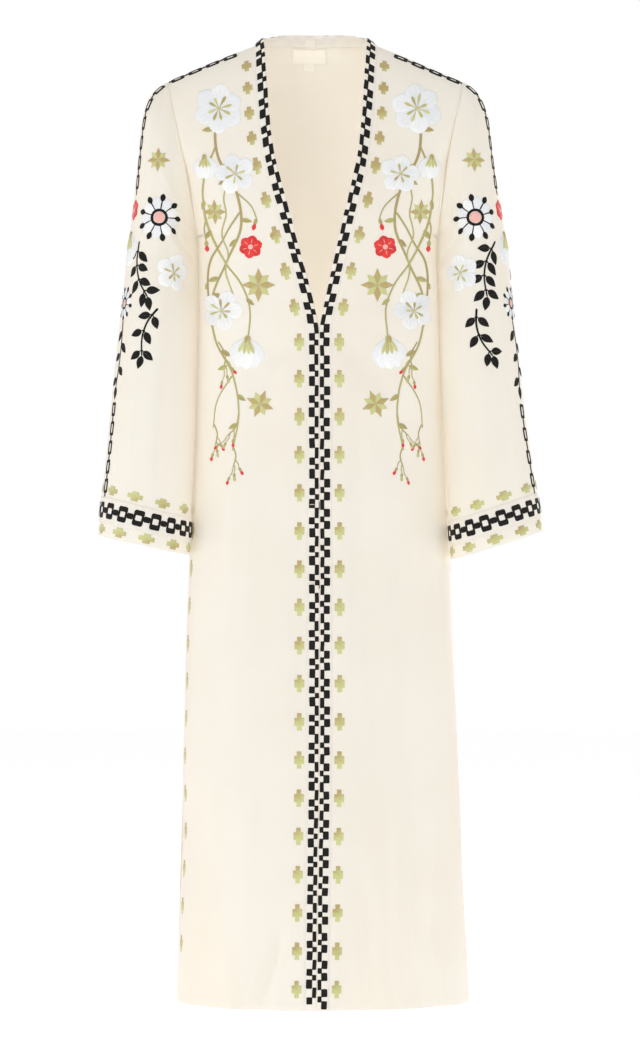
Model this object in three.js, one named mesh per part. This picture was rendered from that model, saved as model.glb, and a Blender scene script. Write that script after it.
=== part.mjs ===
// Kimono coat: a long, open-edged satin coat with straight sleeves, a narrow band round the front edges and the
// back neck, and applied cuff bands. It is modelled worn and hollow, as thin cloth walls.
// Millimetres, +Z up. The coat faces -Y; +X is the wearer's left. The origin is midway between the two shoulder
// seams' neck ends, which is where the wearer's shoulders hold the coat. Everything hangs below it.
import * as THREE from "three";

// ---- sizes -------------------------------------------------------------------------------------------------------
const CLOTH = 1.4; // wall of a panel
const BAND_CLOTH = 1.4; // wall of the folded band
const CUFF_CLOTH = 1.1; // wall of the applied cuff band
const LABEL_CLOTH = 0.8;
const SEAM = 0.36; // clearance between two pieces at a seam
const Z_HEM = -1256; // hem, below the neck points
const Z_ARM = -255; // underarm point
const Z_SHOULDER = -51; // outer end of the shoulder seam
const Z_CROWN = 16.3; // where the two shoulder slopes would meet over the neck
const SLOPE_EASE = 0.25; // rounds the shoulder slopes into each other at the middle
const SQUARENESS = 2.25; // exponent of the body's rounded sections
const ARM_FRONT = 50; // depth of the armhole in front of the shoulder seam
const ARM_BACK = 62; // and behind it
const CHEST_CURVE = 1.6; // roundness of the chest, seen from the side
const BACK_CURVE = 2.8; // and of the upper back
const BAND_WIDTH = 16.2; // front and neck band
const NECK_X = 81; // neck end of the shoulder seam
const NECK_BACK_Z = 0.5; // band seam at the middle of the back neck
const NECK_SIDE_Z = -4; // band seam at the shoulder
const BAND_LIFT = 5; // how far the band's free edge stands up at the shoulder
const LEAN_SIDE = 38; // degrees the band stands up from flat at the shoulder
const LEAN_BACK = 60; // and at the middle of the back neck
const NECK_STEPS = 6; // columns from the middle of the back neck to the shoulder, shared by the back and its band
const HEM_TILT = { left: 4.4, right: -1.3 }; // how much more one sleeve's hem slants than the other's
const CUFF_FROM = 18; // applied cuff band, from the sleeve's hem
const CUFF_TO = 50;
const LABEL = { x: -8, wide: 44, top: -1.2, high: 18.5 };
const TAG = { x: -9, wide: 13, high: 9 };

// Horizontal sections of the body below the underarm: a is the half width, front and back the depths from the side
// seams, shift moves the sides and open moves the front opening, both sideways, as the coat hangs a little askew.
const SECTIONS = [
  { z: -1256, a: 192.5, front: 146, back: 148, shift: 9.2, open: 1.3 },
  { z: -1100, a: 186.2, front: 143, back: 142, shift: 7.9, open: 2.9 },
  { z: -990, a: 182.2, front: 140, back: 138, shift: 6.9, open: 4.5 },
  { z: -840, a: 176.6, front: 136, back: 131, shift: 5.6, open: 5.3 },
  { z: -680, a: 171.3, front: 132, back: 123, shift: 5.3, open: 5.3 },
  { z: -520, a: 164.0, front: 128, back: 113, shift: 5.2, open: 5.2 },
  { z: -374, a: 158.8, front: 124, back: 106, shift: 4.8, open: 4.8 },
  { z: -255, a: 157.0, front: 120, back: 108, shift: 2.4, open: 2.4 },
];
// The same sideways drift above the underarm and down the sleeves.
const DRIFT = [
  { z: -660, shift: 7.2 },
  { z: -600, shift: 5.5 },
  { z: -470, shift: 2.6 },
  { z: -255, shift: 2.4 },
  { z: -200, shift: 1.7 },
  { z: -127, shift: 0.3 },
  { z: 0, shift: 0 },
];
// The front edge: free is the band's own edge and seam is where the band joins the panel, both from the middle.
const FRONT_EDGE = [
  { z: -1256, free: 0.4, seam: 16.6 },
  { z: -384, free: 0.4, seam: 16.6 },
  { z: -370, free: 2.4, seam: 18.4 },
  { z: -340, free: 8.6, seam: 24.8 },
  { z: -300, free: 18.0, seam: 34.2 },
  { z: -258, free: 28.2, seam: 44.6 },
  { z: -216, free: 39.0, seam: 55.4 },
  { z: -185, free: 47.2, seam: 63.2 },
  { z: -155, free: 53.8, seam: 69.2 },
  { z: -120, free: 58.6, seam: 73.6 },
  { z: -80, free: 62.2, seam: 76.8 },
  { z: -40, free: 65.4, seam: 79.2 },
  { z: -4, free: 67.6, seam: 81.0 },
];
// Armhole seam, seen from the front.
const ARMHOLE = [
  { z: -255, x: 157.0 },
  { z: -235, x: 160.0 },
  { z: -200, x: 165.0 },
  { z: -160, x: 171.0 },
  { z: -130, x: 176.5 },
  { z: -100, x: 183.0 },
  { z: -75, x: 188.8 },
  { z: -51, x: 193.0 },
];
// Sleeve sections from the armhole to the hem: outer and inner ends of the section seen from the front, its depth in
// front of and behind its middle, and how far that middle lies forward.
const SLEEVE = [
  { ox: 193.0, oz: -51, ix: 157.0, iz: -255, front: 50, back: 62, mid: 0 },
  { ox: 205.5, oz: -59, ix: 157.9, iz: -258.5, front: 57, back: 65, mid: -1 },
  { ox: 217.3, oz: -72, ix: 158.8, iz: -264, front: 61.5, back: 67, mid: -2 },
  { ox: 225.0, oz: -90, ix: 159.8, iz: -272, front: 64, back: 68, mid: -3.5 },
  { ox: 229.5, oz: -115, ix: 160.6, iz: -284, front: 65.5, back: 68, mid: -5 },
  { ox: 233.0, oz: -150, ix: 161.2, iz: -302, front: 66, back: 68, mid: -7 },
  { ox: 238.5, oz: -195, ix: 161.8, iz: -326, front: 66, back: 67.5, mid: -9 },
  { ox: 246.0, oz: -252, ix: 162.4, iz: -360, front: 65.5, back: 67, mid: -12 },
  { ox: 254.0, oz: -325, ix: 163.2, iz: -408, front: 65, back: 66, mid: -16 },
  { ox: 262.8, oz: -405, ix: 164.8, iz: -466, front: 64, back: 65, mid: -22 },
  { ox: 271.5, oz: -487, ix: 167.0, iz: -530, front: 63, back: 64, mid: -28 },
  { ox: 281.0, oz: -568, ix: 170.0, iz: -600, front: 62.5, back: 63.5, mid: -34 },
  { ox: 290.5, oz: -645, ix: 173.0, iz: -673, front: 62, back: 63, mid: -39 },
];
// The largest folds of the skirt: at is the angle round from the middle of the front towards the wearer's left, in
// degrees, wide its half width, deep its depth at the hem (minus is a trough) and from the height where it starts.
const FOLDS = [
  { at: -17, wide: 7, deep: -4.5, from: -1020 },
  { at: -29, wide: 10, deep: 2.5, from: -900 },
  { at: -56, wide: 13, deep: -2.5, from: -800 },
  { at: 12, wide: 8, deep: -2.0, from: -1040 },
  { at: 46, wide: 8, deep: -5.0, from: -960 },
  { at: 61, wide: 10, deep: 4.0, from: -880 },
  { at: 118, wide: 13, deep: -7.0, from: -560 },
  { at: 141, wide: 12, deep: 5.0, from: -480 },
  { at: 163, wide: 12, deep: -7.5, from: -420 },
  { at: -178, wide: 11, deep: 5.5, from: -460 },
  { at: -158, wide: 12, deep: -7.0, from: -520 },
  { at: -134, wide: 12, deep: 5.0, from: -560 },
  { at: -113, wide: 12, deep: -6.0, from: -640 },
];

// ---- interpolation -----------------------------------------------------------------------------------------------
// Reads one column of a table between its rows, with a curve that never overshoots them.
function read(table, key, column, at) {
  const up = table[0][key] < table[table.length - 1][key] ? table : [...table].reverse();
  const n = up.length;
  if (at <= up[0][key]) return up[0][column];
  if (at >= up[n - 1][key]) return up[n - 1][column];
  let i = 0;
  while (at > up[i + 1][key]) i++;
  const slope = (k) => (up[k + 1][column] - up[k][column]) / (up[k + 1][key] - up[k][key]);
  const tangent = (k) => {
    if (k === 0) return slope(0);
    if (k === n - 1) return slope(n - 2);
    const p = slope(k - 1), q = slope(k);
    return p * q <= 0 ? 0 : (2 * p * q) / (p + q);
  };
  const h = up[i + 1][key] - up[i][key], t = (at - up[i][key]) / h;
  return (
    up[i][column] * (1 + 2 * t) * (1 - t) ** 2 + h * tangent(i) * t * (1 - t) ** 2 +
    up[i + 1][column] * t * t * (3 - 2 * t) + h * tangent(i + 1) * t * t * (t - 1)
  );
}
const smooth = (t) => { const c = Math.min(1, Math.max(0, t)); return c * c * (3 - 2 * c); };
const degrees = (d) => (d * Math.PI) / 180;

// ---- the body's surface ------------------------------------------------------------------------------------------
// side is 1 on the wearer's left. round runs from 0 at the middle to PI/2 at the side seam or armhole. up runs from 0
// at the hem to 1 at the underarm and 2 at the shoulder seam. It carries on past the side, the middle and the shoulder.
function foldAt(angle, z) {
  let sum = 0;
  for (const f of FOLDS) {
    const away = Math.atan2(Math.sin(angle - degrees(f.at)), Math.cos(angle - degrees(f.at))) / degrees(f.wide);
    sum += f.deep * Math.exp(-away * away) * smooth((f.from - z) / (f.from - Z_HEM)) ** 1.2;
  }
  return sum;
}
const ease = (X) => (Math.hypot(X, SLOPE_EASE) - SLOPE_EASE) / (Math.hypot(1, SLOPE_EASE) - SLOPE_EASE);
function body(front, side, round, up) {
  if (round < 0) return body(front, -side, -round, up);
  if (round > Math.PI / 2 && up <= 1) return body(!front, side, Math.PI - round, up);
  if (up > 2) return body(!front, side, round, 4 - up);
  const X = Math.sin(round) ** (2 / SQUARENESS);
  const sign = front ? -1 : 1;
  if (up <= 1) {
    const z = Z_HEM + (Z_ARM - Z_HEM) * up;
    const a = read(SECTIONS, "z", "a", z), depth = read(SECTIONS, "z", front ? "front" : "back", z);
    const bulge = foldAt(side * (front ? round : Math.PI - round), z);
    const x = a * X, y = sign * depth * Math.cos(round) ** (2 / SQUARENESS);
    const nx = x / (a * a), ny = y / (depth * depth), n = Math.hypot(nx, ny) || 1;
    const sides = read(SECTIONS, "z", "shift", z), middle = front ? read(SECTIONS, "z", "open", z) : sides;
    return new THREE.Vector3(side * (x + (bulge * nx) / n) + middle + (sides - middle) * X * X, y + (bulge * ny) / n, z);
  }
  const s = up - 1;
  const zArm = (Z_ARM + Z_SHOULDER) / 2 - ((Z_SHOULDER - Z_ARM) / 2) * Math.cos(Math.PI * s);
  const rise = 1 - (1 - s) ** 1.5;
  const zMid = Z_ARM + (Z_CROWN - Z_ARM) * rise;
  const curve = front ? CHEST_CURVE : BACK_CURVE;
  const yMid = sign * read(SECTIONS, "z", front ? "front" : "back", Z_ARM) * Math.max(0, 1 - rise ** curve) ** (1 / curve);
  const yArm = sign * (front ? ARM_FRONT : ARM_BACK) * Math.sin(Math.PI * s);
  const bend = 2 / SQUARENESS + (1.05 - 2 / SQUARENESS) * smooth(s / 0.5);
  const z = zMid + (zArm - zMid) * ease(X);
  return new THREE.Vector3(
    side * read(ARMHOLE, "z", "x", zArm) * X + read(DRIFT, "z", "shift", z),
    yArm + (yMid - yArm) * Math.max(0, Math.cos(round)) ** bend,
    z,
  );
}
function bodyNormal(front, side, round, up) {
  const e = 1e-3, atArm = round > Math.PI / 2 - 2 * e && up > 1 - e;
  const r1 = atArm ? Math.min(round, Math.PI / 2) - 2 * e : round - e, r2 = atArm ? Math.PI / 2 - e / 4 : round + e;
  const u1 = up < e ? up : up - e, u2 = up + e;
  const across = body(front, side, r2, up).sub(body(front, side, r1, up));
  const along = body(front, side, round, u2).sub(body(front, side, round, u1));
  const n = across.cross(along).normalize();
  const out = new THREE.Vector3(body(front, side, round, up).x, front ? -60 : 60, up > 1.8 ? 200 : 0);
  return n.dot(out) < 0 ? n.negate() : n;
}
const roundAt = (share) => Math.asin(Math.min(1, Math.max(0, share)) ** (SQUARENESS / 2));
// Where the front row at this height meets the band: column is "seam" or "free".
function roundAtEdge(up, column) {
  let r = 0.4;
  for (let i = 0; i < 40; i++) {
    const p = body(true, 1, r, up);
    const reach = up <= 1 ? read(SECTIONS, "z", "a", p.z) : read(ARMHOLE, "z", "x", (Z_ARM + Z_SHOULDER) / 2 - ((Z_SHOULDER - Z_ARM) / 2) * Math.cos(Math.PI * (up - 1)));
    r = 0.5 * r + 0.5 * roundAt(read(FRONT_EDGE, "z", column, p.z) / reach);
  }
  return r;
}
// How far up a column of the back goes: to the band's seam at the neck, or to the shoulder seam.
const NECK_SHARE = NECK_X / 192;
function backTop(round) {
  const X = Math.sin(Math.abs(round)) ** (2 / SQUARENESS);
  if (X >= NECK_SHARE - 1e-9) return 2;
  const target = NECK_BACK_Z + (NECK_SIDE_Z - NECK_BACK_Z) * (X / NECK_SHARE) ** 3;
  let low = 1, high = 2;
  for (let i = 0; i < 50; i++) {
    const m = (low + high) / 2;
    if (body(false, 1, Math.abs(round), m).z < target) low = m; else high = m;
  }
  return (low + high) / 2;
}

// ---- the sleeve's surface ----------------------------------------------------------------------------------------
// down runs from 0 at the armhole to 1 at the hem; turn from 0 at the outer end, through PI/2 at the back, to PI at
// the inner end and 3 PI/2 at the front.
const LAST = SLEEVE.length - 1;
const sleeveRow = (column, down) => read(SLEEVE.map((r, k) => ({ k, v: r[column] })), "k", "v", down * LAST);
function sleeve(side, turn, down) {
  const ox = sleeveRow("ox", down), oz = sleeveRow("oz", down), ix = sleeveRow("ix", down), iz = sleeveRow("iz", down);
  const c = Math.cos(turn), s = Math.sin(turn);
  const depth = sleeveRow(s > 0 ? "back" : "front", down);
  const z = (oz + iz) / 2 + ((oz - iz) / 2) * c + (side > 0 ? HEM_TILT.left : HEM_TILT.right) * c * down ** 5;
  const seamZ = (Z_ARM + Z_SHOULDER) / 2 + ((Z_SHOULDER - Z_ARM) / 2) * c;
  const scoop = read(ARMHOLE, "z", "x", seamZ) - (157 + (36 * (seamZ - Z_ARM)) / (Z_SHOULDER - Z_ARM));
  const x = (ox + ix) / 2 + ((ox - ix) / 2) * c + scoop * (1 - smooth(down * 4)) + SEAM * 1.6 * (1 - smooth(down * 6));
  return new THREE.Vector3(side * x + read(DRIFT, "z", "shift", z), sleeveRow("mid", down) + depth * s, z);
}
function sleeveNormal(side, turn, down) {
  const e = 1e-3, d1 = Math.max(0, down - e), d2 = Math.min(1, down + e);
  const n = sleeve(side, turn + e, down).sub(sleeve(side, turn - e, down)).cross(sleeve(side, turn, d2).sub(sleeve(side, turn, d1))).normalize();
  const middle = sleeve(side, 0, down).add(sleeve(side, Math.PI, down)).multiplyScalar(0.5);
  return n.dot(sleeve(side, turn, down).sub(middle)) < 0 ? n.negate() : n;
}

// ---- cloth walls -------------------------------------------------------------------------------------------------
// rows is a grid of { p, n }: points and the directions their wall faces. The wall reaches from raise above the grid
// down by thick. A tube's rows close on themselves.
function wall(rows, thick, { raise = 0, tube = false } = {}) {
  const nj = rows.length, ni = rows[0].length;
  const at = (layer, j, i) => (layer * nj + j) * ni + (i % ni);
  const positions = [];
  for (const depth of [raise, raise - thick])
    for (const row of rows) for (const { p, n } of row) positions.push(p.x + depth * n.x, p.y + depth * n.y, p.z + depth * n.z);
  const faces = [];
  const quad = (a, b, c, d) => faces.push(a, b, c, a, c, d);
  const spans = tube ? ni : ni - 1;
  for (let j = 0; j < nj - 1; j++)
    for (let i = 0; i < spans; i++) {
      quad(at(0, j, i), at(0, j, i + 1), at(0, j + 1, i + 1), at(0, j + 1, i));
      quad(at(1, j, i), at(1, j + 1, i), at(1, j + 1, i + 1), at(1, j, i + 1));
    }
  for (let i = 0; i < spans; i++) {
    quad(at(0, 0, i), at(1, 0, i), at(1, 0, i + 1), at(0, 0, i + 1));
    quad(at(0, nj - 1, i), at(0, nj - 1, i + 1), at(1, nj - 1, i + 1), at(1, nj - 1, i));
  }
  if (!tube)
    for (let j = 0; j < nj - 1; j++) {
      quad(at(0, j, 0), at(0, j + 1, 0), at(1, j + 1, 0), at(1, j, 0));
      quad(at(0, j, ni - 1), at(1, j, ni - 1), at(1, j + 1, ni - 1), at(0, j + 1, ni - 1));
    }
  // the faces point out when the wall's volume is positive
  let volume = 0;
  const v = (k) => new THREE.Vector3(positions[3 * k], positions[3 * k + 1], positions[3 * k + 2]);
  for (let f = 0; f < faces.length; f += 3) volume += v(faces[f]).dot(v(faces[f + 1]).cross(v(faces[f + 2])));
  if (volume < 0) for (let f = 0; f < faces.length; f += 3) [faces[f + 1], faces[f + 2]] = [faces[f + 2], faces[f + 1]];
  const g = new THREE.BufferGeometry();
  g.setAttribute("position", new THREE.Float32BufferAttribute(positions, 3));
  g.setIndex(faces);
  g.computeVertexNormals();
  return g;
}
const spread = (n, from, to) => Array.from({ length: n + 1 }, (_, i) => from + ((to - from) * i) / n);
const heightAsUp = (z) => (z - Z_HEM) / (Z_ARM - Z_HEM);

// Rows up the fronts, shared by the panel and its band so that their seam matches.
const FRONT_ROWS = [
  ...spread(11, 0, heightAsUp(-384)), heightAsUp(-362), heightAsUp(-335), heightAsUp(-300), 1,
  ...spread(11, 1, 2).slice(1),
];
const seamMove = (edge, reach) => edge / reach; // a length along a row, as a turn of the body
function frontPanel(side) {
  const columns = 9;
  return wall(FRONT_ROWS.map((up) => {
    const from = roundAtEdge(up, "seam"), to = Math.PI / 2 - (up <= 1 ? seamMove(SEAM / 2, 60) : 0);
    const top = up === 2 ? 2 - 0.0022 : up;
    return spread(columns, from, to).map((r) => ({ p: body(true, side, r, top), n: bodyNormal(true, side, r, up) }));
  }), CLOTH);
}
function backPanel() {
  const neck = roundAt(NECK_SHARE), side = Math.PI / 2;
  const half = [...spread(NECK_STEPS, 0, neck), ...spread(7, neck, side).slice(1)];
  const across = [...half.slice(1).reverse().map((r) => -r), ...half];
  const ups = [...spread(10, 0, 1).map((u) => ({ low: u })), ...spread(11, 0, 1).slice(1).map((s) => ({ high: s }))];
  return wall(ups.map(({ low, high }) => across.map((r) => {
    const end = Math.abs(r) > side - 1e-9;
    const top = backTop(r);
    const up = low === undefined ? 1 + (top - 1) * high : low;
    const at = end && up <= 1 ? Math.sign(r) * (side - seamMove(SEAM / 2, 60)) : r;
    const trim = high === 1 ? (top === 2 ? 0.0012 : 0) : 0;
    return { p: body(false, 1, at, up - trim), n: bodyNormal(false, Math.sign(at) || 1, Math.abs(at), up) };
  })), CLOTH);
}
function sleeveTube(side) {
  const turns = spread(22, 0, 2 * Math.PI).slice(0, -1);
  return wall(SLEEVE_ROWS.map((down) => turns.map((turn) => ({ p: sleeve(side, turn, down), n: sleeveNormal(side, turn, down) }))), CLOTH, { tube: true });
}
// The cuff band lies on the sleeve between two of its rows.
const sleeveLength = 95; // the sleeve's last section but one is about this far from its hem
const cuffRow = (up) => 1 - up / sleeveLength / 1.0 / LAST * 1.17;
const SLEEVE_ROWS = [...spread(LAST - 1, 0, (LAST - 1) / LAST), cuffRow(CUFF_TO), cuffRow(CUFF_FROM), 1];
function cuffBand(side) {
  const turns = spread(22, 0, 2 * Math.PI).slice(0, -1);
  return wall([cuffRow(CUFF_TO), cuffRow(CUFF_FROM)].map((down) => turns.map((turn) => ({ p: sleeve(side, turn, down), n: sleeveNormal(side, turn, down) }))),
    CUFF_CLOTH, { raise: SEAM + CUFF_CLOTH, tube: true });
}
// The band runs up the front edge, over the shoulder and round to the middle of the back neck.
function band(side) {
  const rows = [];
  const add = (seam, free, n) => {
    const across = free.clone().sub(seam);
    const start = SEAM / across.length();
    rows.push([start, 0.52, 1].map((t) => ({ p: seam.clone().addScaledVector(across, t), n })));
  };
  for (const up of FRONT_ROWS) {
    const rs = roundAtEdge(up, "seam"), rf = roundAtEdge(up, "free");
    const seam = body(true, side, rs, up), free = body(true, side, rf, up);
    free.z += BAND_LIFT * smooth((up - 1.5) / 0.5);
    const before = body(true, side, rs, Math.max(0, up - 0.01)), after = body(true, side, rs, up + 0.01);
    let n = free.clone().sub(seam).cross(after.sub(before)).normalize();
    if (n.dot(bodyNormal(true, side, rs, up)) < 0) n.negate();
    add(seam, free, n);
  }
  const neck = roundAt(NECK_SHARE), steps = NECK_STEPS;
  for (let k = 1; k <= steps; k++) {
    const r = neck * (1 - k / steps);
    const seamAt = (q) => body(false, q < 0 ? -side : side, Math.abs(q), backTop(q));
    const seam = seamAt(r);
    const along = seamAt(r - 0.01).sub(seamAt(r + 0.01));
    const inward = new THREE.Vector3(-along.y, along.x, 0).normalize().multiplyScalar(side);
    if (inward.dot(new THREE.Vector3(-seam.x, -seam.y, 0)) < 0) inward.negate();
    const lean = degrees(LEAN_SIDE + (LEAN_BACK - LEAN_SIDE) * smooth((1.7 * k) / steps));
    const across = inward.multiplyScalar(Math.cos(lean) * BAND_WIDTH).add(new THREE.Vector3(0, 0, Math.sin(lean) * BAND_WIDTH));
    const free = seam.clone().add(across);
    let n = across.clone().cross(along).normalize();
    if (n.dot(new THREE.Vector3(seam.x, seam.y + 20, 40)) < 0) n.negate();
    if (k === steps) { seam.x = side * SEAM / 2; free.x = side * SEAM / 2; n.x = 0; n.normalize(); }
    add(seam, free, n);
  }
  return wall(rows, BAND_CLOTH);
}
// A woven label on the inside of the back, and the size tag under it.
function inside(x0, x1, zTop, zBottom, columns, lift, thick) {
  const rows = [];
  const upAt = (r, z) => {
    let low = 1, high = 2;
    for (let i = 0; i < 50; i++) { const m = (low + high) / 2; if (body(false, 1, Math.abs(r), m).z < z) low = m; else high = m; }
    return low;
  };
  for (const z of spread(2, zTop, zBottom))
    rows.push(spread(columns, x0, x1).map((x) => {
      let r = 0.1;
      for (let i = 0; i < 30; i++) {
        const p = body(false, 1, Math.abs(r), upAt(r, z));
        r = Math.sign(x || 1) * roundAt((Math.sin(Math.abs(r)) ** (2 / SQUARENESS) * Math.abs(x)) / Math.max(1e-6, p.x));
      }
      const up = upAt(r, z);
      return { p: body(false, Math.sign(r) || 1, Math.abs(r), up), n: bodyNormal(false, Math.sign(r) || 1, Math.abs(r), up) };
    }));
  return wall(rows, thick, { raise: -(CLOTH + lift) });
}
const labelPatch = () => inside(LABEL.x - LABEL.wide / 2, LABEL.x + LABEL.wide / 2, LABEL.top, LABEL.top - LABEL.high, 6, 1.2, LABEL_CLOTH);
const tagPatch = () => inside(TAG.x - TAG.wide / 2, TAG.x + TAG.wide / 2, LABEL.top - LABEL.high - SEAM, LABEL.top - LABEL.high - SEAM - TAG.high, 2, 1.2, LABEL_CLOTH);

// ---- the coat ----------------------------------------------------------------------------------------------------
const satin = new THREE.MeshStandardMaterial({ color: 0xf3ecdf, roughness: 0.38, metalness: 0 });
const bandCloth = new THREE.MeshStandardMaterial({ color: 0xf6f2ea, roughness: 0.45, metalness: 0 });
const labelCloth = new THREE.MeshStandardMaterial({ color: 0xefe8d6, roughness: 0.6, metalness: 0 });
const coat = new THREE.Group();
function piece(name, geometry, material) {
  const mesh = new THREE.Mesh(geometry, material);
  mesh.name = name;
  coat.add(mesh);
}
piece("back_panel", backPanel(), satin);
for (const [name, side] of [["left", 1], ["right", -1]]) {
  piece("front_panel_" + name, frontPanel(side), satin);
  piece("sleeve_" + name, sleeveTube(side), satin);
  piece("front_band_" + name, band(side), bandCloth);
  piece("cuff_band_" + name, cuffBand(side), bandCloth);
}
piece("neck_label", labelPatch(), labelCloth);
piece("size_tag", tagPatch(), labelCloth);

export default coat;
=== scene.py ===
import math

import bpy
import numpy as np
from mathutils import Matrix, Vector


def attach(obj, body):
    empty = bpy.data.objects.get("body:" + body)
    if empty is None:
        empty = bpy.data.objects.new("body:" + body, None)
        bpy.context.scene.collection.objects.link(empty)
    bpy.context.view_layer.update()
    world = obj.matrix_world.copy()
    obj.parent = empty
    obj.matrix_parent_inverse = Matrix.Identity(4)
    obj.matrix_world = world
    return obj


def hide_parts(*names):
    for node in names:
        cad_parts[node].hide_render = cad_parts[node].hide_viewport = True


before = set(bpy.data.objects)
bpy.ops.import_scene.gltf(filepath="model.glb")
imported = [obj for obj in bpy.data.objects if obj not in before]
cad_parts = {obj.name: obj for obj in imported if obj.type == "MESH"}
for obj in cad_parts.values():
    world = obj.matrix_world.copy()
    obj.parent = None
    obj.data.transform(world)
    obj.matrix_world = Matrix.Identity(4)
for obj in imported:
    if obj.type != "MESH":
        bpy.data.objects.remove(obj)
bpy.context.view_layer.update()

# A satin kimono coat, filled out and hollow. Sizes are in millimetres until a mesh is made, in the CAD's frame:
# +Z up, the front faces -Y, +X is the wearer's left, the origin is midway between the shoulder seams' neck ends.
MM = 0.001
PI = math.pi
Z_HEM, Z_ARM, Z_SHOULDER, Z_CROWN = -1256.0, -255.0, -51.0, 16.3
SLOPE_EASE, SQUARENESS = 0.25, 2.25
ARM_FRONT, ARM_BACK = 50.0, 62.0
CHEST_CURVE, BACK_CURVE = 1.6, 2.8
BAND_WIDTH, NECK_X, NECK_BACK_Z, NECK_SIDE_Z, BAND_LIFT = 16.2, 81.0, 0.5, -4.0, 5.0
LEAN_SIDE, LEAN_BACK = 38.0, 60.0
HEM_TILT = {1: 4.4, -1: -1.3}
CLOTH = 0.9  # what the satin looks like it has at an edge
HALF_TURN = 2.0 / SQUARENESS

# ---------------------------------------------------------------------------------------------------------------------
# Tables: the same sections as the CAD's
# ---------------------------------------------------------------------------------------------------------------------
SECTIONS = [  # z, half width, depth in front, depth behind, sideways shift of the sides, and of the opening
    (-1256, 192.5, 146, 148, 9.2, 1.3),
    (-1100, 186.2, 143, 142, 7.9, 2.9),
    (-990, 182.2, 140, 138, 6.9, 4.5),
    (-840, 176.6, 136, 131, 5.6, 5.3),
    (-680, 171.3, 132, 123, 5.3, 5.3),
    (-520, 164.0, 128, 113, 5.2, 5.2),
    (-374, 158.8, 124, 106, 4.8, 4.8),
    (-255, 157.0, 120, 108, 2.4, 2.4),
]
DRIFT = [(-660, 7.2), (-600, 5.5), (-470, 2.6), (-255, 2.4), (-200, 1.7), (-127, 0.3), (0, 0)]
FRONT_EDGE = [  # z, the band's free edge, the band's seam
    (-1256, 0.4, 16.6), (-384, 0.4, 16.6), (-370, 2.4, 18.4), (-340, 8.6, 24.8), (-300, 18.0, 34.2),
    (-258, 28.2, 44.6), (-216, 39.0, 55.4), (-185, 47.2, 63.2), (-155, 53.8, 69.2), (-120, 58.6, 73.6),
    (-80, 62.2, 76.8), (-40, 65.4, 79.2), (-4, 67.6, 81.0),
]
ARMHOLE = [(-255, 157.0), (-235, 160.0), (-200, 165.0), (-160, 171.0), (-130, 176.5), (-100, 183.0), (-75, 188.8), (-51, 193.0)]
SLEEVE = [  # outer end x, z; inner end x, z; depth in front and behind; how far the middle lies back
    (193.0, -51, 157.0, -255, 50, 62, 0),
    (205.5, -59, 157.9, -258.5, 57, 65, -1),
    (217.3, -72, 158.8, -264, 61.5, 67, -2),
    (225.0, -90, 159.8, -272, 64, 68, -3.5),
    (229.5, -115, 160.6, -284, 65.5, 68, -5),
    (233.0, -150, 161.2, -302, 66, 68, -7),
    (238.5, -195, 161.8, -326, 66, 67.5, -9),
    (246.0, -252, 162.4, -360, 65.5, 67, -12),
    (254.0, -325, 163.2, -408, 65, 66, -16),
    (262.8, -405, 164.8, -466, 64, 65, -22),
    (271.5, -487, 167.0, -530, 63, 64, -28),
    (281.0, -568, 170.0, -600, 62.5, 63.5, -34),
    (290.5, -645, 173.0, -673, 62, 63, -39),
]
FOLDS = [  # angle round from the middle of the front, half width, depth at the hem, height where it starts
    (-17, 7, -4.5, -1020), (-29, 10, 2.5, -900), (-56, 13, -2.5, -800), (12, 8, -2.0, -1040), (46, 8, -5.0, -960),
    (61, 10, 4.0, -880), (118, 13, -7.0, -560), (141, 12, 5.0, -480), (163, 12, -7.5, -420), (-178, 11, 5.5, -460),
    (-158, 12, -7.0, -520), (-134, 12, 5.0, -560), (-113, 12, -6.0, -640),
]
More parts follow.
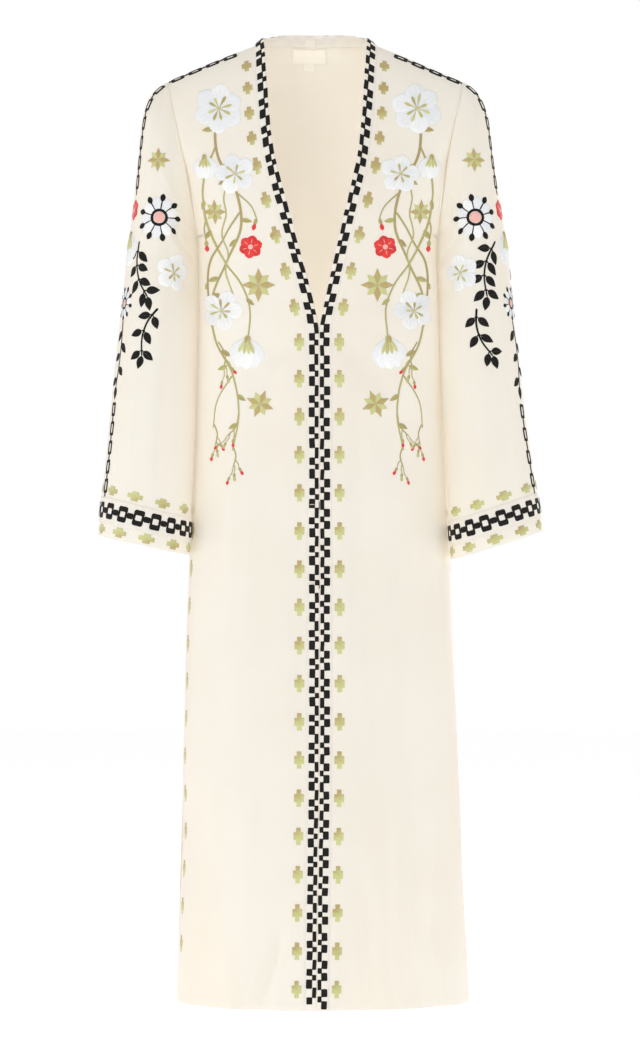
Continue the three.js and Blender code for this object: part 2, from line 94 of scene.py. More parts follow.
# Soft creases that only the cloth's surface has. Body: the side it is on, where it runs from and to (sideways, height),
# its half width, depth (minus is a trough) and how far its middle bows sideways.
BODY_CREASES = [
    # front, wearer's right of the opening
    ("front", -26, -392, -88, -455, 15, -1.5, 6), ("front", -60, -350, -118, -395, 13, 1.2, 5),
    ("front", -150, -205, -122, -305, 9, -1.9, -8), ("front", -136, -160, -104, -300, 14, 1.3, -10),
    ("front", -168, -150, -150, -232, 7, -1.8, 3), ("front", -112, -60, -104, -150, 13, -1.1, 4),
    ("front", -135, -420, -128, -760, 18, -1.3, 6), ("front", -104, -520, -100, -930, 21, 1.3, -7),
    ("front", -66, -640, -64, -1090, 18, -1.2, 6), ("front", -42, -700, -46, -1000, 15, 0.8, -4),
    ("front", -140, -900, -146, -1200, 15, 1.6, 4), ("front", -98, -1010, -96, -1256, 11, -1.7, 4),
    ("front", -45, -1150, -74, -1256, 9, -2.9, -4), ("front", -38, -1180, -42, -1256, 8, 1.1, 3),
    ("front", -152, -960, -134, -1256, 24, -2.6, 6), ("front", -84, -960, -106, -1256, 14, 1.7, 5),
    ("front", -92, -560, -98, -860, 12, -1.3, 4),
    # front, wearer's left
    ("front", 30, -398, 96, -468, 15, -1.5, -6), ("front", 66, -356, 124, -398, 13, 1.2, -5),
    ("front", 156, -208, 128, -312, 9, -2.2, 8), ("front", 142, -158, 108, -296, 14, 1.3, 10),
    ("front", 170, -140, 156, -236, 7, -2.2, -3), ("front", 116, -60, 110, -155, 13, -1.1, -4),
    ("front", 142, -430, 138, -790, 18, -1.5, -6), ("front", 108, -520, 112, -960, 21, 1.2, 7),
    ("front", 72, -610, 74, -1060, 18, -1.2, -6), ("front", 46, -690, 42, -980, 14, 0.8, 4),
    ("front", 152, -880, 160, -1200, 14, -1.5, -4), ("front", 106, -960, 112, -1256, 13, -1.7, -4),
    ("front", 128, -1060, 133, -1256, 9, 1.5, 3), ("front", 40, -1150, 44, -1256, 9, -1.2, 3),
    ("front", 50, -1040, 72, -1256, 11, -1.8, -5), ("front", 150, -1130, 166, -1256, 9, -2.6, -4),
    ("front", 58, -470, 66, -800, 13, -1.2, 4),
    # back
    ("back", -118, -95, -92, -215, 13, -2.2, 8), ("back", 120, -95, 95, -215, 13, -2.4, -8),
    ("back", -150, -190, -70, -270, 13, -2.6, 12), ("back", 152, -196, 74, -280, 13, -2.6, -12),
    ("back", -146, -226, -60, -330, 16, 2.0, 12), ("back", 148, -232, 64, -338, 16, 2.0, -12),
    ("back", -62, -40, 60, -44, 10, -1.5, -12), ("back", -20, -120, -26, -420, 22, -1.6, 6),
    ("back", 42, -300, 40, -700, 22, -2.2, 8), ("back", -58, -340, -56, -760, 20, -2.4, -8),
    ("back", 92, -330, 92, -720, 20, 2.2, 8), ("back", -96, -420, -98, -820, 22, 2.4, -8),
    ("back", 8, -480, 12, -900, 20, 2.2, 6), ("back", -126, -560, -132, -1000, 18, -2.2, 6),
    ("back", 126, -520, 134, -960, 18, -2.4, -6), ("back", 60, -760, 58, -1180, 16, 1.8, 5),
    ("back", -34, -820, -32, -1200, 15, -1.8, 5), ("back", 24, -1040, 24, -1256, 10, -2.0, 3),
    ("back", -84, -1080, -84, -1256, 10, -2.0, 3), ("back", 100, -1060, 102, -1256, 11, -2.0, -3),
]
# Sleeves: the same, with turn (degrees round the sleeve) and distance down it as a share.
SLEEVE_CREASES = [
    (250, 0.02, 262, 0.20, 9, -1.7, 5), (205, 0.05, 240, 0.26, 10, -1.8, 6), (222, 0.10, 268, 0.33, 12, 1.3, 8),
    (190, 0.34, 262, 0.42, 11, -2.2, 8), (198, 0.42, 272, 0.48, 12, 1.8, 8), (188, 0.50, 250, 0.54, 10, -2.0, 6),
    (200, 0.58, 258, 0.66, 12, 1.3, 6), (300, 0.16, 290, 0.44, 17, -1.2, 8), (318, 0.30, 306, 0.66, 17, 1.1, 8),
    (282, 0.52, 276, 0.84, 17, -1.3, -6), (236, 0.66, 242, 0.97, 13, -1.4, 5), (258, 0.74, 262, 0.99, 11, 1.0, 4),
    (330, 0.62, 322, 0.97, 15, -1.1, -5), (214, 0.78, 210, 0.99, 11, 1.2, 4),
    (150, 0.05, 118, 0.24, 10, -2.0, 6), (166, 0.34, 96, 0.43, 12, -2.4, 8), (160, 0.43, 92, 0.50, 12, 1.9, 8),
    (168, 0.52, 104, 0.58, 11, -2.2, 6), (60, 0.18, 72, 0.46, 16, -1.5, 8), (46, 0.34, 52, 0.70, 16, 1.3, 6),
    (80, 0.60, 84, 0.92, 15, -1.7, 6), (120, 0.68, 116, 0.98, 13, -1.7, 5), (28, 0.66, 32, 0.97, 14, -1.2, 5),
]


def curve_of(rows, key, column, n=4001):
    """One column of a table against another as a fine table: the same never-overshooting curve as the CAD's."""
    rows = sorted(rows, key=lambda r: r[key])
    k = np.array([r[key] for r in rows], float)
    v = np.array([r[column] for r in rows], float)
    d = np.diff(v) / np.diff(k)
    m = np.empty(len(k))
    m[0], m[-1] = d[0], d[-1]
    p, q = d[:-1], d[1:]
    with np.errstate(divide="ignore", invalid="ignore"):
        m[1:-1] = np.where(p * q <= 0, 0.0, 2 * p * q / np.where(p + q == 0, 1, p + q))
    x = np.linspace(k[0], k[-1], n)
    i = np.clip(np.searchsorted(k, x, "right") - 1, 0, len(k) - 2)
    h = k[i + 1] - k[i]
    t = (x - k[i]) / h
    y = v[i] * (1 + 2 * t) * (1 - t) ** 2 + h * m[i] * t * (1 - t) ** 2 + v[i + 1] * t * t * (3 - 2 * t) + h * m[i + 1] * t * t * (t - 1)
    return lambda at: np.interp(at, x, y)


half_width, depth_front, depth_back, side_shift, open_shift = (curve_of(SECTIONS, 0, c) for c in (1, 2, 3, 4, 5))
drift = curve_of(DRIFT, 0, 1)
edge_free, edge_seam = curve_of(FRONT_EDGE, 0, 1), curve_of(FRONT_EDGE, 0, 2)
armhole_x = curve_of(ARMHOLE, 0, 1)
LAST = len(SLEEVE) - 1
sleeve_col = [curve_of([(k,) + r for k, r in enumerate(SLEEVE)], 0, c + 1) for c in range(7)]


def smooth(t):
    t = np.clip(t, 0, 1)
    return t * t * (3 - 2 * t)


# ---------------------------------------------------------------------------------------------------------------------
# The body's surface
# ---------------------------------------------------------------------------------------------------------------------
def fold_at(angle, z):
    total = np.zeros(np.broadcast(angle, z).shape)
    for at, wide, deep, start in FOLDS:
        a = math.radians(at)
        away = np.arctan2(np.sin(angle - a), np.cos(angle - a)) / math.radians(wide)
        total = total + deep * np.exp(-away * away) * smooth((start - z) / (start - Z_HEM)) ** 1.2
    return total


def slope_of(X):
    return (np.hypot(X, SLOPE_EASE) - SLOPE_EASE) / (math.hypot(1, SLOPE_EASE) - SLOPE_EASE)


def sort_out(front, side, r, up):
    """Points that run past the middle, the side or the shoulder go on over the neighbouring panel."""
    front, side, r, up = np.broadcast_arrays(front, side, r, up)
    side = np.where(r < 0, -side, side)
    r = np.abs(r)
    past = (r > PI / 2) & (up <= 1)
    front = np.where(past, ~front, front)
    r = np.where(past, PI - r, r)
    over = up > 2
    return np.where(over, ~front, front), side, r, np.where(over, 4 - up, up)


def body_base(front, side, r, up):
    front, side, r, up = sort_out(front, side, np.asarray(r, float), np.asarray(up, float))
    sine, cosine = np.sin(np.minimum(r, PI / 2 + 0.2)), np.maximum(np.cos(r), 0)
    X = np.maximum(sine, 0) ** HALF_TURN
    sign = np.where(front, -1.0, 1.0)
    low = up <= 1
    # below the underarm
    z1 = Z_HEM + (Z_ARM - Z_HEM) * up
    a = half_width(z1)
    depth = np.where(front, depth_front(z1), depth_back(z1))
    bulge = fold_at(side * np.where(front, r, PI - r), z1)
    x1 = a * X
    y1 = sign * depth * cosine ** HALF_TURN
    nx, ny = x1 / (a * a), y1 / (depth * depth)
    n = np.maximum(np.hypot(nx, ny), 1e-12)
    sides = side_shift(z1)
    middle = np.where(front, open_shift(z1), sides)
    low_x = side * (x1 + bulge * nx / n) + middle + (sides - middle) * X * X
    low_y = y1 + bulge * ny / n
    # above it
    s = np.clip(up - 1, 0, 1)
    z_arm = (Z_ARM + Z_SHOULDER) / 2 - (Z_SHOULDER - Z_ARM) / 2 * np.cos(PI * s)
    rise = 1 - (1 - s) ** 1.5
    z_mid = Z_ARM + (Z_CROWN - Z_ARM) * rise
    bend = np.where(front, CHEST_CURVE, BACK_CURVE)
    y_mid = sign * np.where(front, 120.0, 108.0) * np.maximum(1 - rise ** bend, 0) ** (1 / bend)
    y_arm = sign * np.where(front, ARM_FRONT, ARM_BACK) * np.sin(PI * s)
    power = HALF_TURN + (1.05 - HALF_TURN) * smooth(s / 0.5)
    z2 = z_mid + (z_arm - z_mid) * slope_of(X)
    high_x = side * armhole_x(z_arm) * X + drift(z2)
    high_y = y_arm + (y_mid - y_arm) * cosine ** power
    return np.stack([np.where(low, low_x, high_x), np.where(low, low_y, high_y), np.where(low, z1, z2)], -1)


def unit(v):
    return v / np.maximum(np.linalg.norm(v, axis=-1, keepdims=True), 1e-9)


def cross_normal(a, b):
    n = np.cross(a, b)
    return n / np.maximum(np.linalg.norm(n, axis=-1, keepdims=True), 1e-12)


def body_normal(front, side, r, up, at=body_base):
    e = 1.5e-3
    front, side, r, up = np.broadcast_arrays(front, side, np.asarray(r, float), np.asarray(up, float))
    at_arm = (r > PI / 2 - 2 * e) & (up > 1 - e)
    r1 = np.where(at_arm, PI / 2 - 3 * e, r - e)
    r2 = np.where(at_arm, PI / 2 - e / 4, r + e)
    rc = np.where(at_arm, PI / 2 - 1.5 * e, r)
    u1, u2 = np.where(up < e, up, up - e), up + e
    n = cross_normal(at(front, side, r2, up) - at(front, side, r1, up), at(front, side, rc, u2) - at(front, side, rc, u1))
    p = at(front, side, rc, up)
    out = np.stack([p[..., 0], np.where(front, -60.0, 60.0), np.where(up > 1.8, 200.0, 0.0)], -1)
    return np.where(np.sum(n * out, -1, keepdims=True) < 0, -n, n)


def trough(px, pz, x0, z0, x1, z1, wide, deep, bow):
    """A soft crease from one point to another: deepest along its middle and dying out at its ends."""
    dx, dz = x1 - x0, z1 - z0
    length = math.hypot(dx, dz)
    t = ((px - x0) * dx + (pz - z0) * dz) / length ** 2
    away = ((px - x0) * dz - (pz - z0) * dx) / length - bow * 4 * t * (1 - t)
    grow = 1 + 0.35 * np.clip(t, 0, 1)
    open_end = z1 <= Z_HEM + 1
    fade = smooth((t + 0.12) / 0.42) * (np.ones_like(t) if open_end else smooth((1.12 - t) / 0.42))
    return deep * np.exp(-((away / (wide * grow)) ** 2)) * fade


def body_relief(front, side, r, up, p):
    """How far the cloth stands off the plain form here, in millimetres."""
    front, side, r, up = sort_out(front, side, r, up)
    x, z = p[..., 0], p[..., 2]
    d = np.zeros(x.shape)
    for on, x0, z0, x1, z1, wide, deep, bow in BODY_CREASES:
        mine = front if on == "front" else ~front
        d = d + np.where(mine, trough(x, z, x0, z0, x1, z1, wide, deep * (3.1 if z1 < -1200 else 2.7 if z1 < -380 else 1.3), bow), 0.0)
    # gentle unevenness that no cloth is without
    a = np.where(front, r * side, PI - r * side)
    d = d + 0.55 * np.sin(3.1 * a + 0.011 * z + 1.3) * np.sin(0.0093 * z + 2.0 * a) + 0.35 * np.sin(7.3 * a - 0.017 * z) * np.sin(0.021 * z + 0.6)
    d = d * (1 - np.exp(-((x - drift(z)) / 30.0) ** 2) * (front & (z < -360)) * 0.8)
    d = d + 0.35 * np.exp(-(((side * (x - open_shift(z)) - 33.5) / 3.6) ** 2)) * smooth((-900 - z) / 160) * (front & (side < 0))
    # the sleeve presses lightly on the body beside and in front of the side seam
    pressed = smooth((-256 - z) / 16) * smooth((z + 560) / 60) * (up <= 1) * (r > 0.9)
    d = d - np.where(side > 0, 1.8, 0.9) * pressed * np.exp(-(((p[..., 1] + 14) / 16) ** 2))
    # the cloth draws in along the side seam, the armhole and the shoulder seam
    to_side = np.where(up <= 1, (PI / 2 - r) * 120.0, 1e3)
    to_arm = np.where(up > 1, (PI / 2 - np.minimum(r, PI / 2)) * 70.0, 1e3)
    to_shoulder = np.where(up > 1, (2 - up) * 95.0, 1e3)
    for dist, deep in ((to_side, 0.55), (to_arm, 0.8), (to_shoulder, 0.55)):
        d = d - deep * np.exp(-((dist / 1.7) ** 2)) + 0.35 * deep * np.exp(-(((dist - 4.2) / 2.4) ** 2))
    return d


def body(front, side, r, up):
    p = body_base(front, side, r, up)
    n = body_normal(front, side, r, up)
    return p + n * body_relief(np.asarray(front), np.asarray(side), np.asarray(r, float), np.asarray(up, float), p)[..., None]


def round_at(share):
    return np.arcsin(np.clip(share, 0, 1) ** (SQUARENESS / 2))


UPS = np.linspace(0, 2, 1601)


def edge_rounds(edge):
    r = np.full(UPS.shape, 0.4)
    reach_z = (Z_ARM + Z_SHOULDER) / 2 - (Z_SHOULDER - Z_ARM) / 2 * np.cos(PI * (UPS - 1))
    for _ in range(50):
        z = body_base(np.True_, 1, r, UPS)[..., 2]
        reach = np.where(UPS <= 1, half_width(z), armhole_x(reach_z))
        r = 0.5 * r + 0.5 * round_at(edge(z) / reach)
    return r


SEAM_R, FREE_R = edge_rounds(edge_seam), edge_rounds(edge_free)


def seam_round(up):
    return np.interp(up, UPS, SEAM_R)


def free_round(up):
    return np.interp(up, UPS, FREE_R)


NECK_SHARE = NECK_X / 192
NECK_ROUND = float(round_at(NECK_SHARE))


def neck_tops():
    rs = np.linspace(0, NECK_ROUND, 161)
    X = np.sin(rs) ** HALF_TURN
    target = NECK_BACK_Z + (NECK_SIDE_Z - NECK_BACK_Z) * (X / NECK_SHARE) ** 3
    low, high = np.full(rs.shape, 1.0), np.full(rs.shape, 2.0)
    for _ in range(50):
        m = (low + high) / 2
        under = body_base(np.False_, 1, rs, m)[..., 2] < target
        low, high = np.where(under, m, low), np.where(under, high, m)
    tops = (low + high) / 2
    tops[-1] = 2.0
    return rs, tops


NECK_RS, NECK_TOPS = neck_tops()


def back_top(r):
    r = np.abs(r)
    return np.where(r >= NECK_ROUND - 1e-9, 2.0, np.interp(r, NECK_RS, NECK_TOPS))


# ---------------------------------------------------------------------------------------------------------------------
# The sleeve's surface
# ---------------------------------------------------------------------------------------------------------------------
def sleeve_base(side, turn, down):
    turn, down = np.broadcast_arrays(np.asarray(turn, float), np.asarray(down, float))
    k = down * LAST
    ox, oz, ix, iz, df, db, mid = (c(k) for c in sleeve_col)
    c, s = np.cos(turn), np.sin(turn)
    depth = np.where(s > 0, db, df)
    z = (oz + iz) / 2 + (oz - iz) / 2 * c + HEM_TILT[1 if side > 0 else -1] * c * down ** 5
    seam_z = (Z_ARM + Z_SHOULDER) / 2 + (Z_SHOULDER - Z_ARM) / 2 * c
    scoop = armhole_x(seam_z) - (157 + 36 * (seam_z - Z_ARM) / (Z_SHOULDER - Z_ARM))
    x = (ox + ix) / 2 + (ox - ix) / 2 * c + scoop * (1 - smooth(down * 4)) + 0.15 * (1 - smooth(down * 6))
    return np.stack([side * x + drift(z), mid + depth * s, z], -1)


def sleeve_normal(side, turn, down):
    e = 1e-3
    turn, down = np.broadcast_arrays(np.asarray(turn, float), np.asarray(down, float))
    d1, d2 = np.maximum(down - e, 0), np.minimum(down + e, 1)
    n = cross_normal(sleeve_base(side, turn + e, down) - sleeve_base(side, turn - e, down), sleeve_base(side, turn, d2) - sleeve_base(side, turn, d1))
    p = sleeve_base(side, turn, down)
    middle = (sleeve_base(side, 0 * turn, down) + sleeve_base(side, 0 * turn + PI, down)) / 2
    return np.where(np.sum(n * (p - middle), -1, keepdims=True) < 0, -n, n)


SLEEVE_LONG = 600.0  # how long a sleeve is along its outer line, about
ROUND_R = 62.0  # and its radius


# How far each sleeve's inner side leans in against the body, by height.
LEAN_IN = {
    1: curve_of([(-680, 4.2), (-600, 3.3), (-500, 2.7), (-340, 3.0), (-300, 3.5), (-285, 3.6), (-272, 3.3), (-263, 1.6), (-256, 0.0)], 0, 1),
    -1: curve_of([(-680, 1.6), (-620, 2.4), (-540, 4.4), (-480, 5.6), (-340, 5.9), (-300, 5.2), (-275, 3.8), (-263, 1.8), (-256, 0.0)], 0, 1),
}


def sleeve_relief(side, turn, down):
    a = np.degrees(np.mod(turn, 2 * PI))
    d = np.zeros(np.broadcast(turn, down).shape)
    wander = 9.0 if side > 0 else -6.0  # the two sleeves crease a little differently
    for t0, d0, t1, d1, wide, deep, bow in SLEEVE_CREASES:
        k = math.radians(1) * ROUND_R
        d = d + trough((a + 0.5 * wander) * k, -down * SLEEVE_LONG, t0 * k, -d0 * SLEEVE_LONG, t1 * k, -(d1 + 0.001 * wander) * SLEEVE_LONG, wide, deep, bow)
    d = d + 0.45 * np.sin(2 * turn + 9 * down + wander) * np.sin(13 * down + turn) + 0.3 * np.sin(4 * turn - 17 * down) * np.sin(21 * down + 1.0)
    d = d * smooth(down * 12) * (1 - 0.55 * smooth((down - 0.88) / 0.1))
    from_seam = down * LAST * 14.0
    d = d - 0.8 * np.exp(-((from_seam / 1.7) ** 2)) + 0.35 * np.exp(-(((from_seam - 4.5) / 2.6) ** 2))
    z = sleeve_base(side, turn, down)[..., 2]
    d = d + LEAN_IN[1 if side > 0 else -1](z) * np.exp(-((np.angle(np.exp(1j * (turn - PI))) / 0.6) ** 2))
    under = np.abs(np.angle(np.exp(1j * (turn - PI)))) * ROUND_R  # the sleeve's own seam, along its inner side
    return d - 0.5 * np.exp(-((under / 1.6) ** 2)) + 0.18 * np.exp(-(((under - 4) / 2.4) ** 2))


def sleeve(side, turn, down):
    return sleeve_base(side, turn, down) + sleeve_normal(side, turn, down) * sleeve_relief(side, np.asarray(turn, float), np.asarray(down, float))[..., None]


# ---------------------------------------------------------------------------------------------------------------------
# The band: up the front edge, over the shoulder and round the back neck. run is 0 to 1 up the front and on to 2 at the
# middle of the back neck; across is 0 at the seam and 1 at the free edge.
# ---------------------------------------------------------------------------------------------------------------------
def band_rails(side):
    ups = np.concatenate([np.linspace(0, 1, 600), np.linspace(1, 2, 320)[1:]])
    T, S = np.True_, np.float64(side)
    rs, rf = seam_round(ups), free_round(ups)
    seam, free = body(T, S, rs, ups), body_base(T, S, rf, ups)
    seam0 = body_base(T, S, rs, ups)
    free = free + (seam - seam0) * 0.5
    free[:, 2] += BAND_LIFT * smooth((ups - 1.5) / 0.5)
    before, after = body_base(T, S, rs, np.maximum(ups - 0.01, 0)), body_base(T, S, rs, ups + 0.01)
    n = cross_normal(free - seam, after - before)
    bn = body_normal(T, S, rs, ups)
    n = np.where(np.sum(n * bn, -1, keepdims=True) < 0, -n, n)
    rb = NECK_ROUND * (1 - np.linspace(0, 1, 121)[1:])
    seam_b = lambda q: body_base(np.False_, np.where(q < 0, -S, S), np.abs(q), back_top(q))
    sb = seam_b(rb)
    along = seam_b(rb - 0.01) - seam_b(rb + 0.01)
    inward = np.stack([-along[:, 1], along[:, 0], 0 * along[:, 0]], -1) * side
    inward /= np.linalg.norm(inward, axis=-1, keepdims=True)
    wrong = np.sum(inward[:, :2] * -sb[:, :2], -1) < 0
    inward[wrong] *= -1
    lean = np.radians(LEAN_SIDE + (LEAN_BACK - LEAN_SIDE) * smooth(1.7 * np.linspace(0, 1, 121)[1:]))
    across = inward * (np.cos(lean) * BAND_WIDTH)[:, None]
    across[:, 2] += np.sin(lean) * BAND_WIDTH
    fb = sb + across
    nb = cross_normal(across, along)
    out = np.stack([sb[:, 0], sb[:, 1] + 20, np.full(len(sb), 40.0)], -1)
    nb = np.where(np.sum(nb * out, -1, keepdims=True) < 0, -nb, nb)
    sb[-1, 0] = fb[-1, 0] = 0
    seam, free, n = np.vstack([seam, sb]), np.vstack([free, fb]), np.vstack([n, nb])
    # even out the turn from the shoulder to the back neck
    for _ in range(10):
        n[1:-1] = (n[:-2] + n[1:-1] + n[2:]) / 3
    n /= np.linalg.norm(n, axis=-1, keepdims=True)
    middle = (seam + free) / 2
    length = np.concatenate([[0], np.cumsum(np.linalg.norm(np.diff(middle, axis=0), axis=-1))])
    return {"seam": seam, "free": free, "n": n, "s": length, "width": np.linalg.norm(free - seam, axis=-1)}


BANDS = {side: band_rails(side) for side in (1, -1)}


def along_rails(rails, s, key):
    return np.stack([np.interp(s, rails["s"], rails[key][:, i]) for i in range(3)], -1)


def band_point(side, s, t):
    """A point of the band: s millimetres up from the hem and t millimetres in from its seam, and the way it faces."""
    rails = BANDS[side]
    seam, free, n = (along_rails(rails, s, k) for k in ("seam", "free", "n"))
    n = n / np.linalg.norm(n, axis=-1, keepdims=True)
    w = np.interp(s, rails["s"], rails["width"])
    p = seam + (free - seam) * (t / w)[..., None]
    return p + n * (0.45 * smooth(t / 1.4) * smooth((w - t) / 1.2) + 0.12)[..., None], n


# ---------------------------------------------------------------------------------------------------------------------
# Meshes
# ---------------------------------------------------------------------------------------------------------------------
def make_object(name, verts, faces, uv=None, tint=None, material=None):
    mesh = bpy.data.meshes.new(name)
    verts = np.asarray(verts, np.float64).reshape(-1, 3) * MM
    faces = np.asarray(faces, np.int64)
    mesh.vertices.add(len(verts))
    mesh.vertices.foreach_set("co", verts.astype(np.float32).ravel())
    width = faces.shape[1]
    mesh.loops.add(faces.size)
    mesh.loops.foreach_set("vertex_index", faces.astype(np.int32).ravel())
    mesh.polygons.add(len(faces))
    mesh.polygons.foreach_set("loop_start", (np.arange(len(faces)) * width).astype(np.int32))
    mesh.polygons.foreach_set("loop_total", np.full(len(faces), width, np.int32))
    mesh.update(calc_edges=True)
    if uv is not None:
        layer = mesh.uv_layers.new(name="UVMap")
        layer.data.foreach_set("uv", np.asarray(uv, np.float32)[faces.ravel()].ravel())
    if tint is not None:
        at = mesh.attributes.new("tint", "FLOAT", "POINT")
        at.data.foreach_set("value", np.asarray(tint, np.float32))
    mesh.polygons.foreach_set("use_smooth", np.ones(len(faces), bool))
    mesh.validate()
    obj = bpy.data.objects.new(name, mesh)
    bpy.context.scene.collection.objects.link(obj)
    if material:
        mesh.materials.append(material)
    return obj


def cloth(name, P, N, thick, uv, material, tube=False, raise_by=0.0):
    """A cloth wall from a grid of points: an outer face, an inner face and rounded edges between them."""
    nj, ni = P.shape[:2]
    layers = []
    edge = np.zeros((nj, ni))
    edge[0] = edge[-1] = 1
    if not tube:
        edge[:, 0] = edge[:, -1] = 1
    round_off = (0.22 * thick * edge)[..., None]
    layers.append(P + N * (raise_by - round_off))
    layers.append(P + N * (raise_by - thick + round_off))
    # the edges' middle line stands out a little
    verts = [layers[0].reshape(-1, 3), layers[1].reshape(-1, 3)]
    uvs = [uv.reshape(-1, 2), uv.reshape(-1, 2)]
    count = nj * ni
    idx = lambda layer, j, i: layer * count + j * ni + (i % ni)
    faces = []
    J, I = np.meshgrid(np.arange(nj - 1), np.arange(ni if tube else ni - 1), indexing="ij")
    J, I = J.ravel(), I.ravel()
    faces.append(np.stack([idx(0, J, I), idx(0, J, I + 1), idx(0, J + 1, I + 1), idx(0, J + 1, I)], -1))
    faces.append(np.stack([idx(1, J, I), idx(1, J + 1, I), idx(1, J + 1, I + 1), idx(1, J, I + 1)], -1))
    extra = 2 * count

    def rim(points_a, line_p, line_n, line_out, uv_line, closed):
        nonlocal extra
        mid = line_p + line_n * (raise_by - thick / 2) + line_out * (0.42 * thick)
        verts.append(mid)
        uvs.append(uv_line)
        m = len(mid)
        k = np.arange(m if closed else m - 1)
        k2 = (k + 1) % m
        a0, a1 = points_a
        faces.append(np.stack([a0[k], extra + k, extra + k2, a0[k2]], -1))
        faces.append(np.stack([extra + k, a1[k], a1[k2], extra + k2], -1))
        extra += m

    i = np.arange(ni)
    rim((idx(0, 0, i), idx(1, 0, i)), P[0], N[0], unit(P[0] - P[1]), uv[0], tube)
    rim((idx(0, nj - 1, i), idx(1, nj - 1, i)), P[-1], N[-1], unit(P[-1] - P[-2]), uv[-1], tube)
    if not tube:
        j = np.arange(nj)
        rim((idx(0, j, 0 * j), idx(1, j, 0 * j)), P[:, 0], N[:, 0], unit(P[:, 0] - P[:, 1]), uv[:, 0], False)
        rim((idx(0, j, 0 * j + ni - 1), idx(1, j, 0 * j + ni - 1)), P[:, -1], N[:, -1], unit(P[:, -1] - P[:, -2]), uv[:, -1], False)
    obj = make_object(name, np.vstack(verts), np.vstack(faces), np.vstack(uvs), None, material)
    tidy(obj)
    return obj


def tidy(obj):
    """Faces all point outwards."""
    import bmesh
    bm = bmesh.new()
    bm.from_mesh(obj.data)
    bmesh.ops.remove_doubles(bm, verts=bm.verts, dist=1e-6)
    bmesh.ops.recalc_face_normals(bm, faces=bm.faces)
    bm.to_mesh(obj.data)
    bm.free()
    obj.data.polygons.foreach_set("use_smooth", np.ones(len(obj.data.polygons), bool))


# ---------------------------------------------------------------------------------------------------------------------
# Materials
# ---------------------------------------------------------------------------------------------------------------------
def srgb(r, g, b):
    return tuple(((c / 255) / 12.92 if c / 255 <= 0.04045 else ((c / 255 + 0.055) / 1.055) ** 2.4) for c in (r, g, b)) + (1.0,)


class Nodes:
    def __init__(self, name):
        self.material = bpy.data.materials.new(name)
        self.material.use_nodes = True
        self.tree = self.material.node_tree
        self.tree.nodes.clear()
        self.out = self.add("ShaderNodeOutputMaterial")
        self.shader = self.add("ShaderNodeBsdfPrincipled")
        self.link(self.shader.outputs[0], self.out.inputs["Surface"])

    def add(self, kind, **values):
        node = self.tree.nodes.new(kind)
        for key, value in values.items():
            setattr(node, key, value)
        return node

    def link(self, a, b):
        self.tree.links.new(a, b)

    def value(self, socket, value):
        if isinstance(value, bpy.types.NodeSocket):
            self.link(value, socket)
        else:
            socket.default_value = value

    def coords(self, which="Object", scale=(1, 1, 1), rotate=(0, 0, 0)):
        tex = self.add("ShaderNodeTexCoord")
        mapping = self.add("ShaderNodeMapping")
        mapping.inputs["Scale"].default_value = scale
        mapping.inputs["Rotation"].default_value = rotate
        self.link(tex.outputs[which], mapping.inputs["Vector"])
        return mapping.outputs[0]

    def noise(self, vector, scale, detail=3.0, rough=0.5, distortion=0.0):
        node = self.add("ShaderNodeTexNoise")
        self.link(vector, node.inputs["Vector"])
        node.inputs["Scale"].default_value = scale
        node.inputs["Detail"].default_value = detail
        node.inputs["Roughness"].default_value = rough
        node.inputs["Distortion"].default_value = distortion
        return node.outputs["Fac"]

    def wave(self, vector, scale, distortion=0.0, detail=0.0, direction="X", profile="SIN", detail_scale=1.0):
        node = self.add("ShaderNodeTexWave", wave_type="BANDS", bands_direction=direction, wave_profile=profile)
        self.link(vector, node.inputs["Vector"])
        node.inputs["Scale"].default_value = scale
        node.inputs["Distortion"].default_value = distortion
        node.inputs["Detail"].default_value = detail
        node.inputs["Detail Scale"].default_value = detail_scale
        return node.outputs["Fac"]

    def math(self, operation, a, b=0.0, c=0.0):
        node = self.add("ShaderNodeMath", operation=operation)
        for socket, v in zip(node.inputs, (a, b, c)):
            self.value(socket, v)
        return node.outputs[0]

    def ramp(self, fac, stops):
        node = self.add("ShaderNodeValToRGB")
        self.link(fac, node.inputs[0])
        while len(node.color_ramp.elements) < len(stops):
            node.color_ramp.elements.new(0.5)
        for element, (at, colour) in zip(node.color_ramp.elements, stops):
            element.position, element.color = at, colour
        return node.outputs[0]

    def mix(self, fac, a, b, blend="MIX"):
        node = self.add("ShaderNodeMix", data_type="RGBA", blend_type=blend)
        self.value(node.inputs[0], fac)
        self.value(node.inputs[6], a)
        self.value(node.inputs[7], b)
        return node.outputs[2]

    def bump(self, height, strength, distance, normal=None):
        node = self.add("ShaderNodeBump")
        self.link(height, node.inputs["Height"])
        node.inputs["Strength"].default_value = strength
        node.inputs["Distance"].default_value = distance
        if normal is not None:
            self.link(normal, node.inputs["Normal"])
        return node.outputs[0]

    def set(self, **values):
        for key, value in values.items():
            self.value(self.shader.inputs[key.replace("_", " ")], value)


